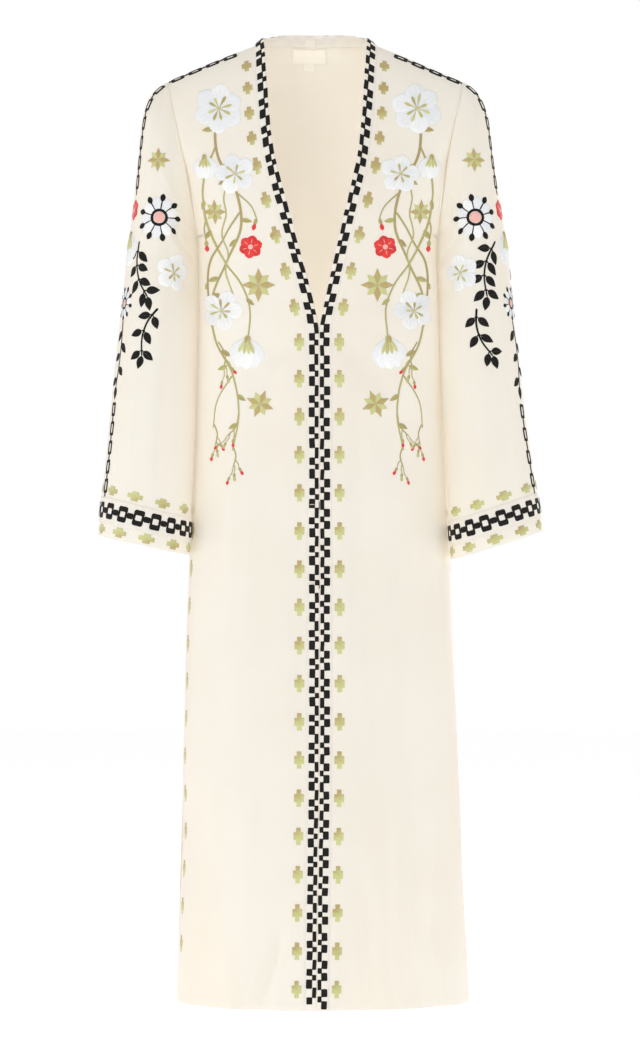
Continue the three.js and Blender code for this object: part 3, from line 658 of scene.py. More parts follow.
def satin_material(name, light, shade, rough=0.40, through=(1.0, 0.90, 0.80, 1.0)):
    """Ivory satin: long floats that run down the cloth, faint slubs, and a soft broad gloss."""
    m = Nodes(name)
    at = m.coords()
    long_way = m.coords(scale=(1, 1, 0.06))
    cloudy = m.noise(at, 7.0, 4.0, 0.55)
    streaks = m.noise(long_way, 240.0, 3.0, 0.6)
    tone = m.math("ADD", m.math("MULTIPLY", cloudy, 0.86), m.math("MULTIPLY", streaks, 0.14))
    m.set(Roughness=m.math("ADD", rough - 0.03, m.math("MULTIPLY", streaks, 0.06)))
    weave = m.noise(m.coords(scale=(1, 1, 0.22)), 1500.0, 2.0, 0.5)
    slub = m.noise(m.coords(scale=(1, 1, 0.035)), 420.0, 2.0, 0.5)
    rumple = m.noise(at, 26.0, 2.0, 0.5)
    n1 = m.bump(weave, 0.12, 0.00010)
    n2 = m.bump(slub, 0.08, 0.00014, n1)
    n3 = m.bump(rumple, 0.10, 0.0016, n2)
    # long soft folds, deeper toward the hem, and a few short slanting ones under the bust
    apart = m.add("ShaderNodeSeparateXYZ")
    m.link(m.coords(), apart.inputs[0])
    low = m.add("ShaderNodeMapRange", interpolation_type="SMOOTHSTEP")
    m.link(apart.outputs["Z"], low.inputs["Value"])
    for socket, v in zip(("From Min", "From Max", "To Min", "To Max"), (-0.70, -1.25, 0.30, 1.0)):
        low.inputs[socket].default_value = v
    folds = m.noise(m.coords(scale=(1, 1, 0.16), rotate=(0, 0.05, 0)), 8.5, 1.2, 0.4, 0.3)
    n4 = m.bump(m.math("MULTIPLY", folds, low.outputs["Result"]), 1.0, 0.020, n3)
    waist = m.math("MULTIPLY", m.math("SUBTRACT", 1.0, m.math("MINIMUM", m.math("ABSOLUTE", m.math("MULTIPLY", m.math("ADD", apart.outputs["Z"], 0.46), 5.5)), 1.0)), m.noise(m.coords(scale=(0.35, 1, 1), rotate=(0, 0.45, 0)), 15.0, 1.0, 0.4, 0.4))
    n3 = m.bump(waist, 1.0, 0.006, n4)
    # painted shade: the base colour is multiplied by a warmer, darker tone in the hollows of the long folds, more of it
    # toward the hem, standing in for the light the cloth bounces on itself there
    painted_fold_shade = m.ramp(folds, [(0.36, (1, 1, 1, 1)), (0.50, (0, 0, 0, 1))])
    plain = m.ramp(tone, [(0.30, shade), (0.62, light)])
    m.set(Base_Color=m.mix(m.math("MULTIPLY", m.math("MULTIPLY", painted_fold_shade, low.outputs["Result"]), 0.55), plain, (1.0, 0.955, 0.895, 1), "MULTIPLY"))
    m.set(Normal=n3, Sheen_Weight=0.45, Sheen_Roughness=0.4, Specular_IOR_Level=0.45)
    m.shader.inputs["Sheen Tint"].default_value = (1.0, 0.97, 0.92, 1.0)
    # thin cloth lets a part of the light through, a little warmer
    glow, both = m.add("ShaderNodeBsdfTranslucent"), m.add("ShaderNodeMixShader")
    glow.inputs["Color"].default_value = through
    m.link(n3, glow.inputs["Normal"])
    both.inputs[0].default_value = 0.33
    m.link(m.shader.outputs[0], both.inputs[1])
    m.link(glow.outputs[0], both.inputs[2])
    m.link(both.outputs[0], m.out.inputs["Surface"])
    return m.material


IVORY, IVORY_SHADE = srgb(246, 247, 242), srgb(243, 243, 236)
satin = satin_material("satin", IVORY, IVORY_SHADE)
band_satin = satin_material("band_satin", srgb(248, 248, 244), srgb(245, 244, 238), 0.44)

# ---------------------------------------------------------------------------------------------------------------------
# Panels
# ---------------------------------------------------------------------------------------------------------------------
def toward_end(n, share=0.06, m=7):
    """0 to 1 in n even steps and, over the last share, m closer ones."""
    return np.concatenate([np.linspace(0, 1 - share, n), 1 - share + share * np.linspace(0, 1, m + 1)[1:]])


front_ups = np.concatenate([np.linspace(0, 0.012, 4), np.linspace(0.012, 1, 200)[1:], 1 + toward_end(92)[1:]])


def grid_uv(P):
    """Flat coordinates of a panel in metres, from its own lengths."""
    across = np.concatenate([np.zeros((P.shape[0], 1)), np.cumsum(np.linalg.norm(np.diff(P, axis=1), axis=-1), axis=1)], 1)
    up = np.concatenate([np.zeros((1, P.shape[1])), np.cumsum(np.linalg.norm(np.diff(P, axis=0), axis=-1), axis=0)], 0)
    return np.stack([across * MM, up * MM], -1)


def front_panel(side, name):
    t = toward_end(66, 0.05)
    cols = len(t)
    U = np.repeat(front_ups[:, None], cols, 1)
    start = seam_round(U[:, 0]) - 0.011
    R = start[:, None] + (PI / 2 - start[:, None]) * t[None, :]
    P = body(np.True_, np.float64(side), R, U)
    N = body_normal(np.True_, np.float64(side), R, U)
    under = np.exp(-((t / 0.01) ** 2))[None, :, None]
    return cloth(name, P - N * 0.35 * under, N, CLOTH, grid_uv(P), satin), P, N


def back_panel(name):
    half = np.concatenate([np.linspace(0, NECK_ROUND, 30), NECK_ROUND + (PI / 2 - NECK_ROUND) * toward_end(44, 0.07)[1:]])
    R = np.concatenate([-half[:0:-1], half])
    low = np.concatenate([np.linspace(0, 0.012, 4), np.linspace(0.012, 1, 200)[1:]])
    high = toward_end(90)[1:]
    top = back_top(R)
    U = np.vstack([np.repeat(low[:, None], len(R), 1), 1 + (top[None, :] - 1) * high[:, None]])
    Rg = np.repeat(R[None, :], len(U), 0)
    P = body(np.False_, np.float64(1), Rg, U)
    N = body_normal(np.False_, np.where(Rg < 0, -1.0, 1.0), np.abs(Rg), U)
    return cloth(name, P, N, CLOTH, grid_uv(P), satin), P, N


def sleeve_panel(side, name):
    downs = np.concatenate([np.linspace(0, 0.02, 5), np.linspace(0.02, 1, 190)[1:]])
    turns = np.linspace(0, 2 * PI, 121)[:-1]
    T, D = np.meshgrid(turns, downs)
    P, N = sleeve(side, T, D), sleeve_normal(side, T, D)
    tuck = P[:1] + unit(P[:1] - P[2:3]) * 2.2 - N[:1] * 1.3
    P, N = np.vstack([tuck, P]), np.vstack([N[:1], N])
    uv = np.stack([T * ROUND_R * MM, D * SLEEVE_LONG * MM], -1)
    return cloth(name, P, N, CLOTH, np.vstack([uv[:1], uv]), satin, tube=True), P, N


def band_panel(side, name):
    rails = BANDS[side]
    s = np.linspace(0, rails["s"][-1], 700)
    t = np.array([-0.15, 0.25, 0.7, 1.4, 4.0, 8.0, 12.0, 14.6, 15.5, 16.0])
    S, T = np.meshgrid(s, t, indexing="ij")
    w = np.interp(S, rails["s"], rails["width"])
    T = T * w / 16.0
    P, N = band_point(side, S.ravel(), T.ravel())
    P, N = P.reshape(S.shape + (3,)), N.reshape(S.shape + (3,))
    return cloth(name, P, N, 1.5, np.stack([T * MM, S * MM], -1), band_satin), P, N


def hem_row(up):
    """How far down the sleeve a line this many millimetres above its hem lies."""
    return float(np.interp(up, HEM_UP, HEM_DOWN))


HEM_DOWN = np.linspace(1, 0.75, 200)
_middle = sum(sleeve_base(1, np.full(200, t), HEM_DOWN) for t in (0.0, PI, 1.5 * PI, PI / 2)) / 4
HEM_UP = np.concatenate([[0], np.cumsum(np.linalg.norm(np.diff(_middle, axis=0), axis=-1))])


def cuff_panel(side, name):
    downs = np.array([hem_row(up) for up in np.linspace(50, 18, 14)])
    turns = np.linspace(0, 2 * PI, 181)[:-1]
    T, D = np.meshgrid(turns, downs)
    P, N = sleeve(side, T, D), sleeve_normal(side, T, D)
    uv = np.stack([T * ROUND_R * MM, D * SLEEVE_LONG * MM], -1)
    return cloth(name, P, N, 0.8, uv, band_satin, tube=True, raise_by=0.95), P, N


pieces = {}
pieces["coat_back"], back_P, back_N = back_panel("coat_back")
for side, word in ((1, "left"), (-1, "right")):
    pieces["coat_front_" + word], _, _ = front_panel(side, "coat_front_" + word)
    pieces["coat_sleeve_" + word], _, _ = sleeve_panel(side, "coat_sleeve_" + word)
    pieces["coat_band_" + word], _, _ = band_panel(side, "coat_band_" + word)
    pieces["coat_cuff_" + word], _, _ = cuff_panel(side, "coat_cuff_" + word)
CAD_OF = {"coat_back": ("back_panel",)}
for word in ("left", "right"):
    CAD_OF["coat_front_" + word] = ("front_panel_" + word,)
    CAD_OF["coat_sleeve_" + word] = ("sleeve_" + word,)
    CAD_OF["coat_cuff_" + word] = ("cuff_band_" + word,)
    CAD_OF["coat_band_" + word] = ("front_band_" + word,)
# ---------------------------------------------------------------------------------------------------------------------
# Stitching. A chart lays a flat drawing, in millimetres, on the cloth; a pen draws on a chart.
# ---------------------------------------------------------------------------------------------------------------------
def front_cloth(side):
    s = np.float64(side)
    return (lambda u, v: body_base(np.True_, s, u, v)), (lambda u, v: (body(np.True_, s, u, v), body_normal(np.True_, s, u, v)))


def back_cloth():
    return (lambda u, v: body_base(np.False_, np.float64(1), u, v)), (lambda u, v: (body(np.False_, np.float64(1), u, v), body_normal(np.False_, np.float64(1), u, v)))


def sleeve_cloth(side):
    return (lambda u, v: sleeve_base(side, u, v)), (lambda u, v: (sleeve(side, u, v), sleeve_normal(side, u, v)))


def spans(base, u, v, high):
    e = 1e-3
    v1, v2 = np.maximum(v - e, 0), np.minimum(v + e, high)
    return (base(u + e, v) - base(u - e, v)) / (2 * e), (base(u, v2) - base(u, v1)) / (v2 - v1)[..., None]


def steps(a, b, d):
    """How far to go in the cloth's two parameters for a move d across it."""
    aa, ab, bb, ad, bd = ((p * q).sum(-1) for p, q in ((a, a), (a, b), (b, b), (a, d), (b, d)))
    det = aa * bb - ab * ab
    return (ad * bb - bd * ab) / det, (bd * aa - ad * ab) / det


def from_front(p):
    k = 6000.0 / (6000.0 + p[..., 1])
    return np.stack([5.9 + (p[..., 0] - 5.9) * k, -632 + (p[..., 2] + 632) * k], -1)


def plan_view(p):
    return np.stack([p[..., 0], p[..., 2]], -1)


class Seen:
    """A drawing in the plane of the shoulders, thrown along the line of sight on to the cloth."""

    def __init__(self, cloth_, us, vs, see=from_front, high=3.0, lift=0.0):
        self.base, self.full = cloth_
        self.see, self.high, self.lift = see, high, lift
        U, V = np.meshgrid(us, vs)
        self.u, self.v = U.ravel(), V.ravel()
        self.seen = see(self.base(self.u, self.v))

    def find(self, xy):
        near = np.concatenate([((part[:, None] - self.seen[None]) ** 2).sum(-1).argmin(1) for part in np.array_split(xy, len(xy) // 2000 + 1)])
        u, v = self.u[near].copy(), self.v[near].copy()
        e = 1e-4
        for _ in range(8):
            s0 = self.see(self.base(u, v))
            su, sv = (self.see(self.base(u + e, v)) - s0) / e, (self.see(self.base(u, v + e)) - s0) / e
            r = xy - s0
            det = su[:, 0] * sv[:, 1] - su[:, 1] * sv[:, 0]
            det = np.where(np.abs(det) < 1e-3, 1e-3, det)
            u = u + np.clip((r[:, 0] * sv[:, 1] - r[:, 1] * sv[:, 0]) / det, -0.15, 0.15)
            v = np.clip(v + np.clip((su[:, 0] * r[:, 1] - su[:, 1] * r[:, 0]) / det, -0.15, 0.15), 0, self.high - 2e-4)
        return u, v

    def place(self, xy):
        return self.full(*self.find(xy))


class Local:
    """A drawing laid upright on the cloth around one point: each of its points is walked to over the cloth."""

    def __init__(self, cloth_, u0, v0, high=3.0, lift=0.0):
        self.base, self.full = cloth_
        self.u0, self.v0, self.high, self.lift = float(u0), float(v0), high, lift

    def place(self, xy, strides=16):
        u, v = np.full(len(xy), self.u0), np.full(len(xy), self.v0)
        up = np.tile([0.0, 0.0, 1.0], (len(xy), 1))
        outward = self.full(u[:1], v[:1])[1][0]
        for _ in range(strides):
            a, b = spans(self.base, u, v, self.high)
            n = unit(np.cross(a, b))
            n = n * np.sign(np.sum(n * outward, -1, keepdims=True))
            outward = n
            up = unit(up - n * np.sum(up * n, -1, keepdims=True))
            right = np.cross(up, n)
            du, dv = steps(a, b, (right * xy[:, :1] + up * xy[:, 1:]) / strides)
            u, v = u + du, np.clip(v + dv, 0, self.high)
        return self.full(u, v)


class Strip:
    """A drawing laid along a line on the cloth: x along it, y across it, to the right as one goes along."""

    def __init__(self, cloth_, us, vs, high=3.0, lift=0.0):
        base, self.full = cloth_
        self.lift, self.high = lift, high
        self.us, self.vs = np.asarray(us, float), np.asarray(vs, float)
        P = base(self.us, self.vs)
        self.s = np.concatenate([[0], np.cumsum(np.linalg.norm(np.diff(P, axis=0), axis=-1))])
        a, b = spans(base, self.us, self.vs, high)
        n = self.full(self.us, self.vs)[1]
        self.du, self.dv = steps(a, b, unit(np.cross(unit(np.gradient(P, axis=0)), n)))
        self.long = float(self.s[-1])

    def place(self, xy):
        at = lambda q: np.interp(xy[:, 0], self.s, q)
        return self.full(at(self.us) + xy[:, 1] * at(self.du), np.clip(at(self.vs) + xy[:, 1] * at(self.dv), 0, self.high))


class OnBand:
    """x up the band from its hem, y in from its seam."""

    def __init__(self, side):
        self.side, self.lift = side, 0.0

    def place(self, xy):
        return band_point(self.side, xy[:, 0], xy[:, 1])


THREADS = {}


class Pen:
    def __init__(self, group, chart, matrix=((1, 0), (0, 1)), origin=(0, 0)):
        self.group, self.chart = group, chart
        self.m, self.o = np.array(matrix, float), np.array(origin, float)

    def at(self, x=0.0, y=0.0, turn=0.0, size=1.0, flip=1):
        c, s = math.cos(math.radians(turn)), math.sin(math.radians(turn))
        m = self.m @ np.array([[c, -s], [s, c]]) @ np.diag([flip * size, size])
        return Pen(self.group, self.chart, m, self.m @ np.array([x, y]) + self.o)

    def add(self, colour, xy, h, faces, uv, tint):
        THREADS.setdefault((self.group, colour), []).append(
            {"chart": self.chart, "xy": xy @ self.m.T + self.o, "h": h, "faces": np.asarray(faces), "uv": uv * abs(np.linalg.det(self.m)) ** 0.5, "tint": np.full(len(xy), tint) if np.isscalar(tint) else tint}
        )

    def patch(self, colour, outline, centre=None, high=0.6, lift=0.0, grain=0.0, tint=0.5, fade=0.0, slope=0.0):
        """A filled shape: its threads lie along the angle grain, domed to high above the cloth."""
        outline = np.asarray(outline, float)
        c = outline.mean(0) if centre is None else np.array(centre, float)
        m = len(outline)
        xy, h = [c[None]], [[lift + high]]
        for share, level in ((0.5, 0.98), (0.84, 0.84), (0.97, 0.45), (1.0, -0.30)):
            xy.append(c + (outline - c) * share)
            h.append(np.full(m, lift + high * level if level > 0 else min(lift, 0) + high * level))
        k, k2 = np.arange(m), (np.arange(m) + 1) % m
        faces = [np.stack([0 * k, 1 + k, 1 + k2], -1)]
        for ring in range(3):
            a, b = 1 + ring * m, 1 + (ring + 1) * m
            faces += [np.stack([a + k, b + k, b + k2], -1), np.stack([a + k, b + k2, a + k2], -1)]
        xy = np.vstack(xy)
        g = math.radians(grain)
        uv = np.stack([-xy[:, 0] * math.sin(g) + xy[:, 1] * math.cos(g), xy[:, 0] * math.cos(g) + xy[:, 1] * math.sin(g)], -1)
        far = np.linalg.norm(xy, axis=-1)
        self.add(colour, xy, np.concatenate(h), np.vstack(faces), uv, tint + fade * (far / max(far.max(), 1e-6) - 0.5) + slope * (xy[:, 1] + 0.5 * xy[:, 0]) / max(far.max(), 1e-6))

    def ribbon(self, colour, path, width, high=0.5, lift=0.0, tint=0.5, slant=0.5, closed=False, ends=0.6, fade=0.0):
        """A line of satin stitch: threads lie across it, on a slant."""
        path = np.asarray(path, float)
        if closed:
            path = np.vstack([path, path[:1]])
        path = resample(path, closed)
        s = np.concatenate([[0], np.cumsum(np.linalg.norm(np.diff(path, axis=0), axis=-1))])
        w = np.interp(s / s[-1], np.linspace(0, 1, len(np.atleast_1d(width))), np.atleast_1d(width)) / 2 if not np.isscalar(width) else np.full(len(path), width / 2)
        if not closed:
            round_end = np.clip(np.minimum(s, s[-1] - s) / (w * ends * 2 + 1e-6), 0, 1)
            w = w * np.sqrt(np.clip(1 - (1 - round_end) ** 2, 0.0025, 1))
        t = unit(np.gradient(path, axis=0))
        if closed:
            t[0] = t[-1] = unit(t[0] + t[-1])
        across = np.stack([-t[:, 1], t[:, 0]], -1)
        ks = ((-1.0, -0.3), (-0.72, 0.72), (0.0, 1.0), (0.72, 0.72), (1.0, -0.3))
        xy = np.stack([path + across * (w * k)[:, None] for k, _ in ks], 1)
        h = np.stack([np.full(len(path), lift + high * q if q > 0 else min(lift, 0) + high * q) for _, q in ks], 1)
        uv = np.stack([np.stack([s + slant * w * k, w * k], -1) for k, _ in ks], 1)
        n, c = xy.shape[:2]
        J, I = (q.ravel() for q in np.meshgrid(np.arange(n - 1), np.arange(c - 1), indexing="ij"))
        a, b, d, e = J * c + I, J * c + I + 1, (J + 1) * c + I + 1, (J + 1) * c + I
        faces = np.vstack([np.stack([a, b, d], -1), np.stack([a, d, e], -1)])
        self.add(colour, xy.reshape(-1, 2), h.ravel(), faces, uv.reshape(-1, 2), np.repeat(tint + fade * (s / s[-1] - 0.5), c))

    def frame(self, colour, hw, hh, side, top, high=0.6, tint=0.5):
        """An open block: side and top are how wide its upright and its level bars are."""
        a = np.linspace(0, 2 * PI, 41)[:-1] + 0.08
        shape = lambda w_, h_: np.stack([w_ * np.sign(np.cos(a)) * np.abs(np.cos(a)) ** 0.3, h_ * np.sign(np.sin(a)) * np.abs(np.sin(a)) ** 0.3], -1)
        rings = [(0, -0.3), (0.10, 0.75), (0.5, 1.0), (0.90, 0.75), (1.0, -0.3)]
        xy = np.vstack([shape(hw - side * q, hh - top * q) for q, _ in rings])
        m = len(a)
        h = np.repeat([high * q for _, q in rings], m)
        k, k2 = np.arange(m), (np.arange(m) + 1) % m
        faces = []
        for ring in range(4):
            p, q = ring * m, (ring + 1) * m
            faces += [np.stack([p + k, q + k, q + k2], -1), np.stack([p + k, q + k2, p + k2], -1)]
        self.add(colour, xy, h, np.vstack(faces), np.stack([xy[:, 1], xy[:, 0]], -1), tint)


def resample(path, closed=False, gap=2.2):
    """A smooth line through the points, with a point every couple of millimetres."""
    if len(path) == 2:
        n = max(2, int(np.linalg.norm(path[1] - path[0]) / gap) + 2)
        return path[0] + (path[1] - path[0]) * np.linspace(0, 1, n)[:, None]
    p = np.vstack([path[-2:-1], path, path[1:2]]) if closed else np.vstack([2 * path[0] - path[1], path, 2 * path[-1] - path[-2]])
    out = []
    for i in range(1, len(p) - 2):
        n = max(2, int(np.linalg.norm(p[i + 1] - p[i]) / gap) + 1)
        t = np.linspace(0, 1, n + 1)[:-1, None]
        out.append(0.5 * (2 * p[i] + (p[i + 1] - p[i - 1]) * t + (2 * p[i - 1] - 5 * p[i] + 4 * p[i + 1] - p[i + 2]) * t ** 2 + (3 * p[i] - p[i - 1] - 3 * p[i + 1] + p[i + 2]) * t ** 3))
    return np.vstack(out + [p[-2:-1]])


def poly(points, gap=2.0):
    points = np.array(points, float)
    out = []
    for a, b in zip(points, np.roll(points, -1, axis=0)):
        n = max(1, int(round(np.linalg.norm(b - a) / gap)))
        out.append(a + (b - a) * (np.arange(n) / n)[:, None])
    return np.vstack(out)


def block_shape(hw, hh, power=9.0, m=28):
    a = np.linspace(0, 2 * PI, m + 1)[:-1] + 0.13
    return np.stack([hw * np.sign(np.cos(a)) * np.abs(np.cos(a)) ** (2 / power), hh * np.sign(np.sin(a)) * np.abs(np.sin(a)) ** (2 / power)], -1)


def petal_shape(long, wide, blunt=0.72, m=11):
    """From its foot at the origin up to its tip; blunt under 1 puts the widest place nearer the tip."""
    t = np.linspace(0, 1, m)
    w = wide / 2 * np.sin(PI * t ** (1 / blunt) * 0.999) ** 0.72
    w[0] = max(w[0], 0.03 * wide)
    side = np.stack([w, long * t], -1)
    return np.vstack([side, side[::-1][1:] * [-1, 1]])


def leaf_shape(long, wide, m=9):
    t = np.linspace(0, 1, m)
    w = wide / 2 * np.sin(PI * t ** 0.8) ** 0.9
    side = np.stack([w, long * t], -1)
    return side, np.vstack([side, (side * [-1, 1])[::-1][1:-1]])


rng = np.random.default_rng(11)


def block(pen, x, y, w, h, colour="black", grain=0.0):
    wobble = rng.uniform(-0.35, 0.35, 4)
    pen.at(x + wobble[0], y + wobble[1], turn=rng.uniform(-3, 3)).patch(colour, block_shape((w + wobble[2]) / 2, (h + wobble[3]) / 2), high=0.62, grain=grain, tint=rng.uniform(0.2, 0.8))


def leaf(pen, long, wide, colour, lift=0.0, tint=0.5):
    """Two halves that meet at a rib, each with its own slant of thread."""
    side, _ = leaf_shape(long, wide)
    for flip in (1, -1):
        half = np.vstack([side, [[0.0, long * 0.66], [0.0, long * 0.33]]]) * [flip, 1]
        pen.patch(colour, half, centre=(flip * wide * 0.2, long * 0.45), high=0.6, lift=lift, grain=90 - 38 * flip, tint=tint + 0.12 * flip)


def blossom(pen, size, petals=5, stamens=6, lift=0.5):
    """An open flower in white satin stitch with gold stamens."""
    for k in range(petals):
        at = 360.0 * k / petals + rng.uniform(-5, 5)
        own = size * rng.uniform(0.47, 0.53)
        petal = pen.at(turn=at)
        petal.patch("white", petal_shape(own, size * 0.40), centre=(0, own * 0.58), high=0.85 + 0.18 * (k % 2), lift=lift, grain=90 + rng.uniform(-8, 8), tint=rng.uniform(0.25, 0.75), fade=0.35)
        for bend in (-0.10, 0.0, 0.10):
            petal.ribbon("white", [(bend * 0.4 * size, own * 0.34), (bend * 0.9 * size, own * 0.60), (bend * 1.05 * size, own * (0.86 - abs(bend)))], [0.9, 0.5], high=0.35, lift=lift + 0.75, tint=0.05)
    for k in range(stamens):
        at = 360.0 * (k + 0.4) / stamens + rng.uniform(-8, 8)
        reach = size * rng.uniform(0.17, 0.25)
        pen.at(turn=at).patch("gold" if k % 2 else "olive", petal_shape(reach * 1.25, size * 0.062, 0.42, 9), centre=(0, reach * 0.8), high=0.6, lift=lift + 0.85, grain=90, tint=rng.uniform(0.2, 0.9), fade=0.5)
    pen.patch("gold", block_shape(size * 0.04, size * 0.04, 2.2, 14), high=0.6, lift=lift + 1.0, tint=0.7)


def side_blossom(pen, size, lift=0.5):
    """The same flower half open, seen from its side and hanging down."""
    for k, at in enumerate((152, 208, 166, 194, 180)):
        own = size * (0.86 if k < 2 else 0.98 if k < 4 else 1.0)
        pen.at(turn=at).patch("white", petal_shape(own, size * 0.44, 0.62), centre=(0, own * 0.6), high=0.7 + 0.16 * k, lift=lift, grain=90 + (at - 180) * 0.3, tint=0.3 + 0.1 * k, fade=0.3)
    for at in (158, 172, 187, 203):
        pen.at(turn=at).patch("gold", petal_shape(size * 0.56, size * 0.10, 0.42, 9), centre=(0, size * 0.36), high=0.6, lift=lift + 1.35, grain=90, tint=rng.uniform(0.3, 0.9), fade=0.5)
    leaf(pen.at(turn=168), size * 0.26, size * 0.12, "olive", lift=lift + 1.2)
    leaf(pen.at(turn=192), size * 0.26, size * 0.12, "olive", lift=lift + 1.2, tint=0.35)


def daisy(pen, size, petals=9):
    """White petals round a ringed pink middle, with a small black dart between each two."""
    for k in range(petals):
        at = 360.0 * k / petals
        pen.at(turn=at).patch("white", petal_shape(size * 0.44, size * 0.22, 0.66), centre=(0, size * 0.28), high=0.85 + 0.12 * (k % 2), grain=90, tint=0.3 + 0.4 * (k % 2), fade=0.3)
        dart = pen.at(turn=at + 180.0 / petals)
        dart.ribbon("black", [(0, size * 0.14), (0, size * 0.34)], [size * 0.03, size * 0.045], high=0.6, lift=0.35)
        dart.at(0, size * 0.31).patch("black", petal_shape(size * 0.19, size * 0.115, 0.8, 8), high=0.75, grain=0, tint=rng.uniform(0.2, 0.8))
    a = np.linspace(0, 2 * PI, 25)[:-1]
    pen.ribbon("black", np.stack([np.cos(a), np.sin(a)], -1) * size * 0.150, size * 0.075, high=0.7, lift=0.5, closed=True)
    pen.patch("pink", np.stack([np.cos(a), np.sin(a)], -1) * size * 0.118, high=0.75, lift=0.55, grain=35, tint=0.5)


def red_flower(pen, size):
    for k in range(6):
        pen.at(turn=60 * k).patch("red", petal_shape(size * 0.5, size * 0.42, 0.7), centre=(0, size * 0.3), high=0.7 + 0.15 * (k % 2), grain=90, tint=0.3 + 0.4 * (k % 2))
        pen.at(turn=60 * k).ribbon("pink", [(0, size * 0.14), (0, size * 0.36)], [1.3, 0.7], high=0.4, lift=0.8)
    a = np.linspace(0, 2 * PI, 17)[:-1]
    pen.patch("pink", np.stack([np.cos(a), np.sin(a)], -1) * size * 0.11, high=0.6, lift=0.8, tint=0.5)


def star(pen, size):
    """A solid eight-pointed star of kites."""
    r = size * 0.27
    w = r * math.tan(PI / 8)
    for k in range(8):
        long = size * (0.54 if k % 2 == 0 else 0.46)
        pen.at(turn=45 * k).patch("gold", poly([(0, 0.2), (w, r), (0, long), (-w, r)], 2.4), centre=(0, r), high=0.62, grain=20 + 60 * (k % 2), tint=0.15 + 0.6 * (k % 2) + rng.uniform(-0.1, 0.1))


def lozenge(pen, wide, high, tint=None):
    """A small stepped block: a square with a narrower tab at either end."""
    w, h = wide / 2, high / 2
    pts = [(w, -h * 0.46), (w, h * 0.46), (w * 0.46, h * 0.46), (w * 0.46, h), (-w * 0.46, h), (-w * 0.46, h * 0.46), (-w, h * 0.46), (-w, -h * 0.46), (-w * 0.46, -h * 0.46), (-w * 0.46, -h), (w * 0.46, -h), (w * 0.46, -h * 0.46)]
    pen.patch("gold", poly(pts, 2.2), centre=(0, 0), high=0.6, grain=12, tint=rng.uniform(0.4, 0.7) if tint is None else tint, slope=rng.uniform(0.35, 0.8))


def bud(pen, size=9.0, colour="red"):
    leaf(pen, size, size * 0.42, "olive", tint=0.5)
    pen.at(0, size * 0.62).patch(colour, petal_shape(size * 0.8, size * 0.46, 0.9, 8), high=0.8, lift=0.1, grain=90, tint=0.5)


def spray(pen, length, buds=3, colour="red"):
    """A thin curved stalk that parts into stalks with a bud each."""
    pen.ribbon("olive", [(0, 0), (length * 0.08, length * 0.35), (-length * 0.04, length * 0.7)], [2.2, 1.6], tint=0.4)
    for k in range(buds):
        lean = (k - (buds - 1) / 2) * 24
        arm = pen.at(length * 0.03 * (1 - k), length * (0.42 + 0.13 * k), turn=lean)
        arm.ribbon("olive", [(0, 0), (0.03 * length, length * 0.16), (0, length * 0.30)], [1.7, 1.2], tint=0.6)
        bud(arm.at(0, length * 0.28), 8.5, colour if k % 2 == 0 else "gold")


def sprig(pen, length, pairs, colour="black", size=17.0, stem=3.3, bow=0.12):
    """A bowed stalk with leaves to either side and one at its tip."""
    line = np.array([(0, 0), (bow * length, length * 0.33), (bow * length, length * 0.66), (0, length)])
    pen.ribbon(colour, line, [stem, stem * 0.7], tint=0.5)
    fine = resample(line)
    for k in range(pairs):
        i = int(len(fine) * (0.16 + 0.70 * k / max(pairs - 1, 1)))
        x, y = fine[i]
        heading = math.degrees(math.atan2(fine[i + 1][1] - y, fine[i + 1][0] - x)) - 90
        for flip in (1, -1):
            if k % 2 == (flip > 0) and pairs > 4:
                continue
            arm = pen.at(x, y, turn=heading + flip * rng.uniform(42, 60))
            arm.ribbon(colour, [(0, 0), (0, size * 0.24)], stem * 0.6, high=0.45)
            leaf(arm.at(0, size * 0.16), size * rng.uniform(0.85, 1.1), size * 0.56, colour, tint=rng.uniform(0.3, 0.7))
    leaf(pen.at(0, length - 1), size, size * 0.56, colour)


def chain(pen, s0, s1, w, h, hole, bar, pitch, colour="black"):
    """Open blocks joined by bars, along x. hole is the opening's size, (along, across)."""
    n = max(1, int(round((s1 - s0) / pitch)))
    pitch = (s1 - s0) / n
    for k in range(n):
        x = s0 + (k + 0.5) * pitch
        own = pen.at(x, rng.uniform(-0.3, 0.3), turn=rng.uniform(-1.8, 1.8))
        own.frame(colour, (w + rng.uniform(-0.4, 0.4)) / 2, (h + rng.uniform(-0.5, 0.5)) / 2, (w - hole[0]) / 2, (h - hole[1]) / 2, tint=rng.uniform(0.3, 0.7))
        pen.ribbon(colour, [(x + w / 2 - 1.2, 0), (x + pitch - w / 2 + 1.2, 0)], bar, high=0.52, ends=0.12)


# ---- where the stitching lies ---------------------------------------------------------------------------------------
SPACING = [26, 22.5]


def sew_band(side, word):
    """Two columns of checks, the inner ones narrower and by turns short and long."""
    pen = Pen("band_" + word, OnBand(side))
    total, k, s = BANDS[side]["s"][-1] - 4, 0, 2.5 if side > 0 else 9.0
    while s < total:
        scale = 1.0 - 0.10 * float(smooth((760 - s) / 200)) * (s < 760)
        tall = ((10.2, 6.8, 10.2, 13.0) if side > 0 else (8.7, 13.2, 11.8, 6.5))[k % 4] * scale
        wide = float(smooth((s - 840) / 60))  # the band lies flat from the V up, and shows more of its inner checks
        t, w = ((7.0 + 0.2 * wide, 7.8 + 0.7 * wide), (13.1 + 0.1 * wide, 5.3 + 0.7 * wide))[k % 2]
        block(pen, s + tall / 2, t, tall + 1.5, w, grain=90)
        s += tall
        k += 1


